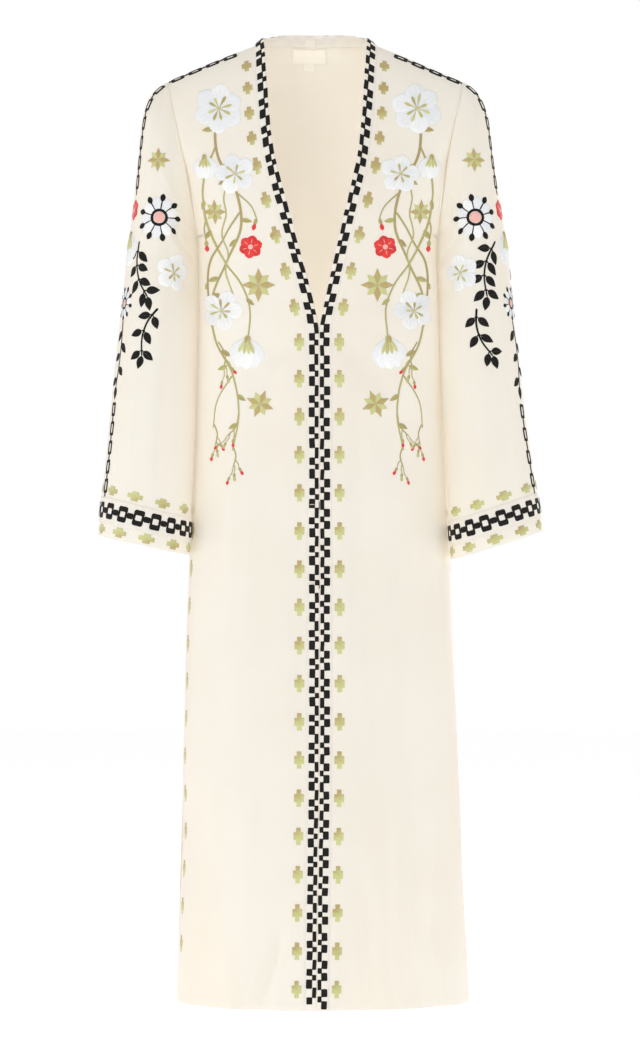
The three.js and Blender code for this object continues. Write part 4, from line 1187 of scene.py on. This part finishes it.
def sew_front_border(side, word):
    """Small lozenges up the front beside the band, closer together round the neck."""
    ups = np.linspace(0.004, 1.96, 500)
    line = Strip(front_cloth(side), seam_round(ups), ups)
    z = line.full(line.us, line.vs)[0][:, 2]
    pen = Pen("front_" + word, line)
    heights = list(np.arange(-1229, -420, 49.0)) + [-398, -351, -304, -257, -211, -166, -130, -97, -63, -32]
    for at in heights:
        s = float(np.interp(at, z, line.s))
        off = 9.6 + 1.4 * float(smooth((at + 240) / 120))
        dark = float(smooth((at + 330) / 200))
        lozenge(pen.at(s, side * off, turn=90), 13.5, 22.5 if at < -140 else 19, tint=rng.uniform(0.45, 0.75) - 0.5 * dark)


def sew_front(side, word):
    """The vine down one front, out from the middle: x is the distance from the opening."""
    chart = Seen(front_cloth(side), np.linspace(0.05, PI / 2 - 0.03, 26), np.linspace(0.3, 1.97, 70), high=2.0)
    own = Pen("front_" + word, chart, origin=(3.2, 0)).at(flip=side)
    main = [(128, -88), (135, -112), (131, -150), (107, -196), (101, -244), (121, -290), (139, -338), (134, -392), (112, -436), (104, -486), (112, -536)]
    own.ribbon("olive", main, [3.9, 3.6, 3.0, 2.0], tint=0.45, fade=0.5)
    own.ribbon("olive", [(134, -134), (149, -176), (150, -222), (134, -268), (121, -290)], [2.8, 3.2], tint=0.6, fade=0.4)
    own.ribbon("olive", [(102, -222), (120, -250), (141, -286), (144, -328), (137, -368)], [2.7, 2.4], lift=0.3, tint=0.3, fade=-0.4)
    own.ribbon("olive", [(121, -290), (100, -318), (88, -352), (91, -386)], [2.8, 2.2], tint=0.6)
    own.ribbon("olive", [(112, -436), (134, -470), (140, -506)], [2.2, 1.4], tint=0.5)
    own.ribbon("olive", [(107, -196), (88, -214), (80, -232)], [2.2, 1.8], tint=0.5)
    for x, y, turn, long in (
        (136, -112, -100, 17), (127, -160, 118, 16), (116, -178, -120, 17), (101, -232, 100, 15), (104, -258, -128, 16),
        (150, -206, -168, 14), (141, -246, -152, 14), (130, -308, -110, 16), (138, -330, 104, 15), (136.5, -362, -165, 12),
        (128, -404, 118, 16), (119, -424, -112, 15), (107, -462, 124, 15), (106, -500, -122, 14), (94, -336, 128, 14), (144, -314, -162, 11),
    ):
        leaf(own.at(x, y, turn=turn), long, long * 0.42, "olive", tint=rng.uniform(0.3, 0.75))
    for x, y, turn, long in ((131, -392, 166, 54), (104, -486, 204, 50), (112, -528, 176, 44), (139, -500, 172, 40),):
        spray(own.at(x, y, turn=turn), long)
    own.ribbon("olive", [(119, -184), (123, -204), (120, -226), (127, -252), (118, -276), (121, -300), (112, -328)], [1.8, 2.4, 2.0], lift=0.25, tint=0.75, fade=0.3)
    bud(own.at(112, -326, turn=196), 12)
    bud(own.at(80.5, -230, turn=196), 12)
    own.ribbon("olive", [(147, -230), (149, -243), (147.5, -254), (145.5, -264)], [2.0, 1.7], tint=0.5)
    bud(own.at(146.5, -259, turn=174), 11)
    blossom(own.at(130, -86, turn=8), 66, petals=6, stamens=8)
    blossom(own.at(108, -172, turn=-14), 54)
    side_blossom(own.at(149, -146, turn=-4), 34)
    blossom(own.at(125.5, -352, turn=20), 56, stamens=7)
    side_blossom(own.at(91, -384, turn=6), 46)
    red_flower(own.at(88, -268, turn=12), 31)
    star(own.at(78, -318), 42)
    star(own.at(136, -222), 31)
    star(own.at(76, -474, turn=22.5), 36)


def sew_shoulder(side, word):
    us = np.linspace(float(round_at(100 / 192)), PI / 2 - 0.02, 60)
    line = Strip(front_cloth(side), us, np.full(60, 1.918 if side > 0 else 1.934))
    chain(Pen("front_" + word, line), 0, line.long - 0.5, 19, 12.5, (8.0, 3.4), 4.6, 25)


def sew_side(side, word):
    """Lozenges down beside the side seam, on the wearer's right a little further forward."""
    ups = np.linspace(0.05, 0.64, 200)
    line = Strip(front_cloth(side), np.full(200, PI / 2 - (0.2 if side < 0 else -0.09)), ups)
    z = line.full(line.us, line.vs)[0][:, 2]
    for at in np.arange(-1180, -640, 49.0):
        lozenge(Pen("front_" + word, line).at(float(np.interp(at, z, line.s)), 0, turn=90), 13.5, 22)


def sew_sleeve(side, word):
    cloth_ = sleeve_cloth(side)
    group = "sleeve_" + word
    f = side  # on the wearer's left the turn runs the other way as seen

    def spot(x, z):
        """A place by its distance round from the line of decoration, to the front, and its height."""
        turn = -(x + 25) / ROUND_R
        downs = np.linspace(0, 1, 400)
        return Pen(group, Local(cloth_, turn, float(np.interp(-z, -sleeve_base(side, np.full(400, turn), downs)[:, 2], downs)), high=1.0))

    downs = np.linspace(0.004, 0.999, 300)
    outer = Strip(cloth_, -(13 + 12 * smooth(downs / 0.3)) / ROUND_R, downs, high=1.0)
    line_z = outer.full(outer.us, outer.vs)[0][:, 2]
    along = lambda z: float(np.interp(-z, -line_z, outer.s))
    line = Pen(group, outer)
    chain(line, 3, along(-198), 19, 12.5, (11, 4.6), 3.8, 27)
    chain(line, along(-470), outer.long - 52, 19, 12.5, (11, 4.6), 3.8, 27)
    sprig(line.at(along(-366), 0, turn=-90), 88, 5, size=18, bow=0.05)
    for front in (1, -1):
        lean = -front * f  # which way "outwards" points as seen from outside
        if front > 0:
            star(spot(50, -158), 31)
        else:
            star(spot(-66, -158), 31)
        sprig(spot(28 * front, -264).at(turn=180 + 15 * lean), 76, 4, size=19)
        sprig(spot(74 * front, -352).at(turn=180 - 20 * lean), 66, 3, size=18)
        blossom(spot(98 * front, -306).at(turn=-18 * lean), 52, stamens=6)
        daisy(spot(62 * front, -234).at(turn=10 * lean), 64)
    daisy(spot(0, -344), 46)
    side_blossom(spot(0, -250), 46)
    red_flower(spot(0, -222), 28)

    # round the hem, from the inner seam: a chain on the applied band and small lozenges above and below it
    turns = np.linspace(-PI, PI, 361)
    for up, lift, what in ((33.5, 0.98, "chain"), (60.0, 0.0, "above"), (9.2, 0.0, "below")):
        ring = Strip(cloth_, turns, np.full(361, hem_row(up)), high=1.0, lift=lift)
        pen = Pen(("cuff_" if what == "chain" else "sleeve_") + word, ring)
        if what == "chain":
            chain(pen, 0, ring.long, 14, 21.5, (7.6, 7.0), 8.2, 23)
        else:
            n = int(round(ring.long / 37.5))
            foot = float(np.interp(-25 / ROUND_R, turns, ring.s))
            for k in range(n):
                at = (foot + (k + (0.5 if what == "above" else 0.0)) * ring.long / n) % ring.long
                lozenge(pen.at(float(np.clip(at, 11.5, ring.long - 11.5)), 0), 21.5, 12.5)


def sew_back():
    """The back's upper part carries the same vine, smaller, on either side of a plain middle."""
    chart = Seen(back_cloth(), np.linspace(-PI / 2 + 0.03, PI / 2 - 0.03, 50), np.linspace(0.4, 1.9, 60), see=plan_view, high=2.0)
    whole = Pen("back", chart)
    for side in (1, -1):
        own = whole.at(flip=side)
        own.ribbon("olive", [(96, -66), (112, -112), (98, -164), (70, -206), (62, -256), (80, -304), (92, -352), (78, -404)], [3.2, 2.6, 1.6], tint=0.5, fade=0.2)
        own.ribbon("olive", [(98, -164), (124, -196), (128, -240), (108, -280), (80, -304)], [2.2, 2.2], tint=0.6)
        for x, y, turn, long in ((110, -124, -110, 17), (92, -176, 120, 16), (66, -222, -110, 16), (66, -274, 118, 15), (84, -318, -118, 15), (90, -366, 110, 15), (126, -222, -140, 14)):
            leaf(own.at(x, y, turn=turn), long, long * 0.42, "olive", tint=rng.uniform(0.3, 0.75))
        for x, y, turn, long in ((78, -396, 172, 48), (88, -372, 200, 44), (108, -276, 170, 40)):
            spray(own.at(x, y, turn=turn), long)
        blossom(own.at(102, -90, turn=10), 64, petals=6, stamens=8)
        blossom(own.at(68, -196, turn=-12), 50)
        side_blossom(own.at(88, -296), 42)
        star(own.at(120, -160), 30)
        star(own.at(44, -316, turn=22.5), 32)
        red_flower(own.at(112, -256, turn=10), 28)


for side, word in ((1, "left"), (-1, "right")):
    sew_band(side, word)
    sew_front_border(side, word)
    sew_front(side, word)
    sew_shoulder(side, word)
    sew_side(side, word)
    sew_sleeve(side, word)
sew_back()


def sew_seams():
    """Topstitching beside the band's seams, the thread bars that hold the fronts together, and beside each bar a short
    black line on the band's free edge: a painted shadow of the gap where the fronts part.
    """
    for side, word in ((1, "left"), (-1, "right")):
        pen = Pen("band_" + word, OnBand(side))
        total = BANDS[side]["s"][-1]
        for s in np.arange(3.0, total - 4, 4.6):
            pen.ribbon("ivory", [(s, 1.5), (s + 3.5, 1.5)], 0.5, high=0.28, tint=rng.uniform(0.3, 0.9), ends=0.3)
        cloth_ = sleeve_cloth(side)
        turns = np.linspace(0, 2 * PI, 241)
        for up, lift in ((48.6, 0.95), (19.4, 0.95), (16.0, 0.0)):
            ring = Strip(cloth_, turns, np.full(241, hem_row(up)), high=1.0, lift=lift)
            own = Pen(("cuff_" if lift else "sleeve_") + word, ring)
            for s in np.arange(0.5, ring.long - 4, 4.4):
                own.ribbon("ivory", [(s, 0), (s + 3.3, 0)], 0.5, high=0.28, tint=rng.uniform(0.3, 0.9), ends=0.3)
    right = Pen("band_right", OnBand(-1))
    for up in (649.0, 547.5):
        right.ribbon("ivory", [(up, 3.2), (up + 0.4, 7.0), (up, 10.8)], 1.0, high=0.6, lift=1.0, tint=0.1)
        # painted shadow: a short black stitch line along the band's free edge stands for the shade in the gap where the
        # fronts part
        right.ribbon("black", [(up + 4.5, 16.1), (up, 16.3), (up - 7.0, 16.1)], 0.8, high=0.6, lift=0.3, tint=0.3)


sew_seams()


def thread_material(name, one, other, rough=0.42, sheen=0.3, specular=0.5):
    """Satin-stitch thread: fine ridges that follow each patch's own direction."""
    m = Nodes(name)
    tint = m.add("ShaderNodeAttribute", attribute_name="tint")
    uv = m.coords("UV")
    fine = m.noise(m.coords("UV", scale=(2.2, 0.10, 1)), 1.0, 3.0, 0.6)
    broad = m.noise(m.coords("UV", scale=(0.62, 0.045, 1)), 1.0, 2.0, 0.6)
    tone = m.math("ADD", tint.outputs["Fac"], m.math("MULTIPLY", m.math("SUBTRACT", m.math("ADD", m.math("MULTIPLY", fine, 0.5), m.math("MULTIPLY", broad, 0.5)), 0.5), 1.9))
    m.set(Base_Color=m.ramp(tone, [(0.1, one), (0.9, other)]))
    m.set(Roughness=rough, Specular_IOR_Level=specular, Sheen_Weight=sheen, Sheen_Roughness=0.4)
    threads = m.wave(uv, 0.748 * 0.95, 1.1, 2.0, "X", "SIN", 0.6)
    n1 = m.bump(threads, 0.55, 0.00022)
    n2 = m.bump(broad, 0.35, 0.0009, n1)
    m.set(Normal=m.bump(fine, 0.25, 0.0003, n2))
    return m.material


THREAD_LOOKS = {
    "black": thread_material("thread_black", srgb(10, 9, 6), srgb(22, 19, 14), 0.55, 0.0, 0.22),
    "gold": thread_material("thread_gold", srgb(188, 166, 106), srgb(210, 213, 146), 0.38),
    "white": thread_material("thread_white", srgb(230, 232, 236), srgb(252, 252, 251), 0.42),
    "olive": thread_material("thread_olive", srgb(168, 144, 92), srgb(192, 190, 116), 0.42),
    "red": thread_material("thread_red", srgb(214, 28, 32), srgb(240, 52, 46), 0.42, 0.15),
    "tan": thread_material("thread_tan", srgb(205, 190, 160), srgb(226, 214, 188), 0.45),
    "ivory": thread_material("thread_ivory", srgb(236, 229, 214), srgb(250, 246, 236), 0.45),
    "pink": thread_material("thread_pink", srgb(240, 172, 160), srgb(250, 200, 190), 0.42),
}


def sew():
    by_chart = {}
    for parts in THREADS.values():
        for part in parts:
            by_chart.setdefault(id(part["chart"]), []).append(part)
    for parts in by_chart.values():
        chart = parts[0]["chart"]
        P, N = chart.place(np.vstack([p["xy"] for p in parts]))
        P = P + N * (np.concatenate([p["h"] for p in parts]) + chart.lift)[:, None]
        i = 0
        for p in parts:
            n = len(p["xy"])
            p["points"], p["normals"] = P[i:i + n], N[i:i + n]
            i += n
    made = {}
    for (group, colour), parts in THREADS.items():
        faces, start = [], 0
        for p in parts:
            # each face's outside is the side that the cloth faces
            f, q = p["faces"], p["points"]
            n = np.cross(q[f[:, 1]] - q[f[:, 0]], q[f[:, 2]] - q[f[:, 0]])
            if (n * p["normals"][f[:, 0]]).sum() < 0:
                f = f[:, ::-1]
            faces.append(f + start)
            start += len(q)
        name = f"stitch_{group}_{colour}"
        made[name] = make_object(name, np.vstack([p["points"] for p in parts]), np.vstack(faces), np.vstack([p["uv"] for p in parts]), np.concatenate([p["tint"] for p in parts]), THREAD_LOOKS[colour])
    return made


# ---------------------------------------------------------------------------------------------------------------------
# The woven label inside the back neck and the small tag under it, both blank
# ---------------------------------------------------------------------------------------------------------------------
def label_material():
    """Plain woven ribbon: a fine cross weave."""
    m = Nodes("label_cloth")
    at = m.coords("UV")
    warp = m.wave(m.coords("UV", scale=(1, 1, 1)), 0.62, 0.6, 1.0, "X")
    weft = m.wave(m.coords("UV", scale=(1, 1, 1)), 0.50, 0.6, 1.0, "Y")
    mottle = m.noise(at, 0.35, 3.0, 0.6)
    m.set(Base_Color=m.ramp(mottle, [(0.3, srgb(244, 239, 226)), (0.7, srgb(251, 247, 238))]), Roughness=0.62, Sheen_Weight=0.2)
    m.set(Normal=m.bump(m.math("MULTIPLY", warp, weft), 0.35, 0.00014))
    return m.material


label_cloth = label_material()
neck_chart = Seen(back_cloth(), np.linspace(-0.35, 0.35, 30), np.linspace(1.70, 1.995, 40), see=plan_view, high=2.0)


def label_patch(name, x0, x1, z1, z0, lift, thick):
    nx, nz = max(8, int((x1 - x0) / 1.1)), max(6, int((z1 - z0) / 1.1))
    X, Z = np.meshgrid(np.linspace(x0, x1, nx), np.linspace(z1, z0, nz))
    P, N = neck_chart.place(np.stack([X.ravel(), Z.ravel()], -1))
    hang = smooth((z1 - Z.ravel()) / (z1 - z0)) * 0.6  # its lower edge stands a little off the back
    P = (P - N * (CLOTH + lift + hang)[:, None]).reshape(nz, nx, 3)
    uv = np.stack([X, Z], -1)
    return cloth(name, P, -N.reshape(nz, nx, 3), thick, uv, label_cloth)


pieces["coat_label"] = label_patch("coat_label", -30, 14, -1.2, -19.7, 1.0, 0.5)
pieces["coat_size_tag"] = label_patch("coat_size_tag", -15.5, -2.5, -19.0, -29.0, 0.35, 0.4)
CAD_OF["coat_label"], CAD_OF["coat_size_tag"] = ("neck_label",), ("size_tag",)


class OnLabel:
    """x and y as seen from behind the coat, on the inner side of the back, raised by what lies under it."""

    lift = 0.0

    def __init__(self, off, z1, z0):
        self.off, self.z1, self.z0 = off, z1, z0

    def place(self, xy):
        P, N = neck_chart.place(xy)
        hang = smooth((self.z1 - xy[:, 1]) / (self.z1 - self.z0)) * 0.6
        return P - N * (CLOTH + self.off + hang)[:, None], -N


def sew_label():
    """Running stitches round the label and along the tag's top."""
    pen = Pen("label", OnLabel(1.0, -1.2, -19.7))
    corners = np.array([(-29.1, -2.1), (13.1, -2.1), (13.1, -18.8), (-29.1, -18.8), (-29.1, -2.1)])
    for a, b in zip(corners[:-1], corners[1:]):
        long = np.linalg.norm(b - a)
        n = int(long / 2.3)
        for k in range(n):
            q = [a + (b - a) * (k + share) / n for share in (0.14, 0.80)]
            pen.ribbon("tan", q, 0.42, high=0.28, tint=rng.uniform(0.2, 0.8), ends=0.3)


sew_label()

for name, nodes in CAD_OF.items():
    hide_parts(*nodes)
for name, obj in pieces.items():
    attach(obj, "root")

stitches = sew()
for obj in stitches.values():
    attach(obj, "root")

# Each panel's flat size, (width, length) in metres, and its flat area where it isn't a rectangle
SHEETS = {  # piece: slot, width, length, area, how it is held, what carries it
    "coat_back": ("satin", 0.551, 1.306, 0.590, "hung", ["coat_front_left", "coat_front_right"]),
    "coat_front_left": ("satin", 0.264, 1.294, 0.262, "hung", ["coat_back"]),
    "coat_front_right": ("satin", 0.251, 1.296, 0.260, "hung", ["coat_back"]),
    "coat_sleeve_left": ("satin", 0.510, 0.609, 0.192, "hung", ["coat_front_left", "coat_back"]),
    "coat_sleeve_right": ("satin", 0.510, 0.613, 0.193, "hung", ["coat_front_right", "coat_back"]),
    "coat_band_left": ("band", 0.016, 1.404, None, "folded", ["coat_front_left", "coat_back"]),
    "coat_band_right": ("band", 0.016, 1.406, None, "folded", ["coat_front_right", "coat_back"]),
    "coat_cuff_left": ("cuff", 0.402, 0.032, None, "laid", ["coat_sleeve_left"]),
    "coat_cuff_right": ("cuff", 0.396, 0.032, None, "laid", ["coat_sleeve_right"]),
    "coat_label": ("label", 0.044, 0.024, None, "hung", ["coat_back"]),
    "coat_size_tag": ("label", 0.013, 0.012, None, "hung", ["coat_label"]),
}
for name, (slot, wide, long, area, held, carried) in SHEETS.items():
    obj = pieces[name]

# ---------------------------------------------------------------------------------------------------------------------
# Studio
# ---------------------------------------------------------------------------------------------------------------------
scene = bpy.context.scene
scene.view_settings.view_transform = "Standard"

camera_data = bpy.data.cameras.new("camera")
camera_data.sensor_width = 36.0
camera_data.lens = 36.0 * 6000 / (1048 * 1.314)
camera = bpy.data.objects.new("camera", camera_data)
camera.location = (5.9 * MM, -6.0, -0.632)
camera.rotation_euler = (PI / 2, 0, 0)
camera_data.clip_start, camera_data.clip_end = 0.1, 60
scene.collection.objects.link(camera)
scene.camera = camera


def studio():
    # a plain pale floor, a little way under the hem; from below it is clear, so that it never hides the coat
    m = Nodes("floor_paint")
    m.set(Base_Color=(0.93, 0.93, 0.93, 1), Roughness=0.9, Specular_IOR_Level=0.1)
    m.set(Emission_Color=(1, 1, 1, 1), Emission_Strength=0.42)
    facing, clear, both = m.add("ShaderNodeNewGeometry"), m.add("ShaderNodeBsdfTransparent"), m.add("ShaderNodeMixShader")
    m.link(facing.outputs["Backfacing"], both.inputs[0])
    m.link(m.shader.outputs[0], both.inputs[1])
    m.link(clear.outputs[0], both.inputs[2])
    m.link(both.outputs[0], m.out.inputs["Surface"])
    corners = [[-12000, -12000, -1450.0], [12000, -12000, -1450.0], [12000, 12000, -1450.0], [-12000, 12000, -1450.0]]
    floor = make_object("studio_floor", np.array(corners), [[0, 1, 2, 3]], material=m.material)
    world = bpy.data.worlds.new("studio")
    world.use_nodes = True
    tree = world.node_tree
    soft = tree.nodes["Background"]
    soft.inputs[0].default_value, soft.inputs[1].default_value = (1, 1, 1, 1), 0.61
    seen, path, both = tree.nodes.new("ShaderNodeBackground"), tree.nodes.new("ShaderNodeLightPath"), tree.nodes.new("ShaderNodeMixShader")
    seen.inputs[0].default_value, seen.inputs[1].default_value = (1, 1, 1, 1), 1.0
    tree.links.new(path.outputs["Is Camera Ray"], both.inputs[0])
    tree.links.new(soft.outputs[0], both.inputs[1])
    tree.links.new(seen.outputs[0], both.inputs[2])
    tree.links.new(both.outputs[0], tree.nodes["World Output"].inputs["Surface"])
    scene.world = world
    for name, place, size, power, colour in (
        ("front", (-2.3, -5.0, 1.0), (2.0, 2.0), 36, (1.0, 0.99, 0.97)),
        ("side", (3.9, -1.9, 0.0), (2.0, 3.0), 28, (0.985, 0.985, 0.975)),
        ("other_side", (-3.9, -1.9, 0.0), (2.0, 3.0), 27, (0.985, 0.985, 0.975)),
        ("top", (-0.4, -0.8, 3.0), (3.0, 3.0), 16, (1, 1, 1)),
        ("back", (1.4, 5.0, 0.6), (3.0, 3.0), 52, (1.0, 0.99, 0.97)),
    ):
        light = bpy.data.lights.new(name, "AREA")
        light.shape, light.size, light.size_y, light.energy, light.color = "RECTANGLE", size[0], size[1], power, colour
        obj = bpy.data.objects.new(name, light)
        obj.location = place
        obj.rotation_euler = (Vector((0, 0, -0.6)) - Vector(place)).to_track_quat("-Z", "Y").to_euler()
        scene.collection.objects.link(obj)
        if "side" in name:  # fill for the narrow gaps beside the sleeves: only the floor stands in its way
            stops = bpy.data.collections.new("stops_" + name)
            stops.objects.link(floor)
            obj.light_linking.blocker_collection = stops
    # soft lamps inside the hollow coat, so that the inside of its back and of its collar reads
    for name, place, aim, size, power, spread, names in (
        ("inside", (0.005, -0.085, -0.58), (0.0, 0.09, -0.10), (0.18, 0.08), 0.15, 80, ("coat_back", "coat_label", "coat_size_tag")),
        ("collar", (0.0, -0.01, -0.30), (0.0, 0.03, 0.0), (0.05, 0.04), 0.015, 46, ("coat_band_left", "coat_band_right")),
    ):
        light = bpy.data.lights.new(name, "AREA")
        light.shape, light.size, light.size_y, light.energy, light.color = "RECTANGLE", size[0], size[1], power, (1.0, 0.985, 0.96)
        light.spread = math.radians(spread)
        obj = bpy.data.objects.new(name, light)
        obj.location = place
        obj.rotation_euler = (Vector(aim) - Vector(place)).to_track_quat("-Z", "Y").to_euler()
        obj.visible_camera = False
        scene.collection.objects.link(obj)
        lit = bpy.data.collections.new("lit_" + name)
        for piece in names:
            lit.objects.link(pieces[piece])
        obj.light_linking.receiver_collection = lit


studio()
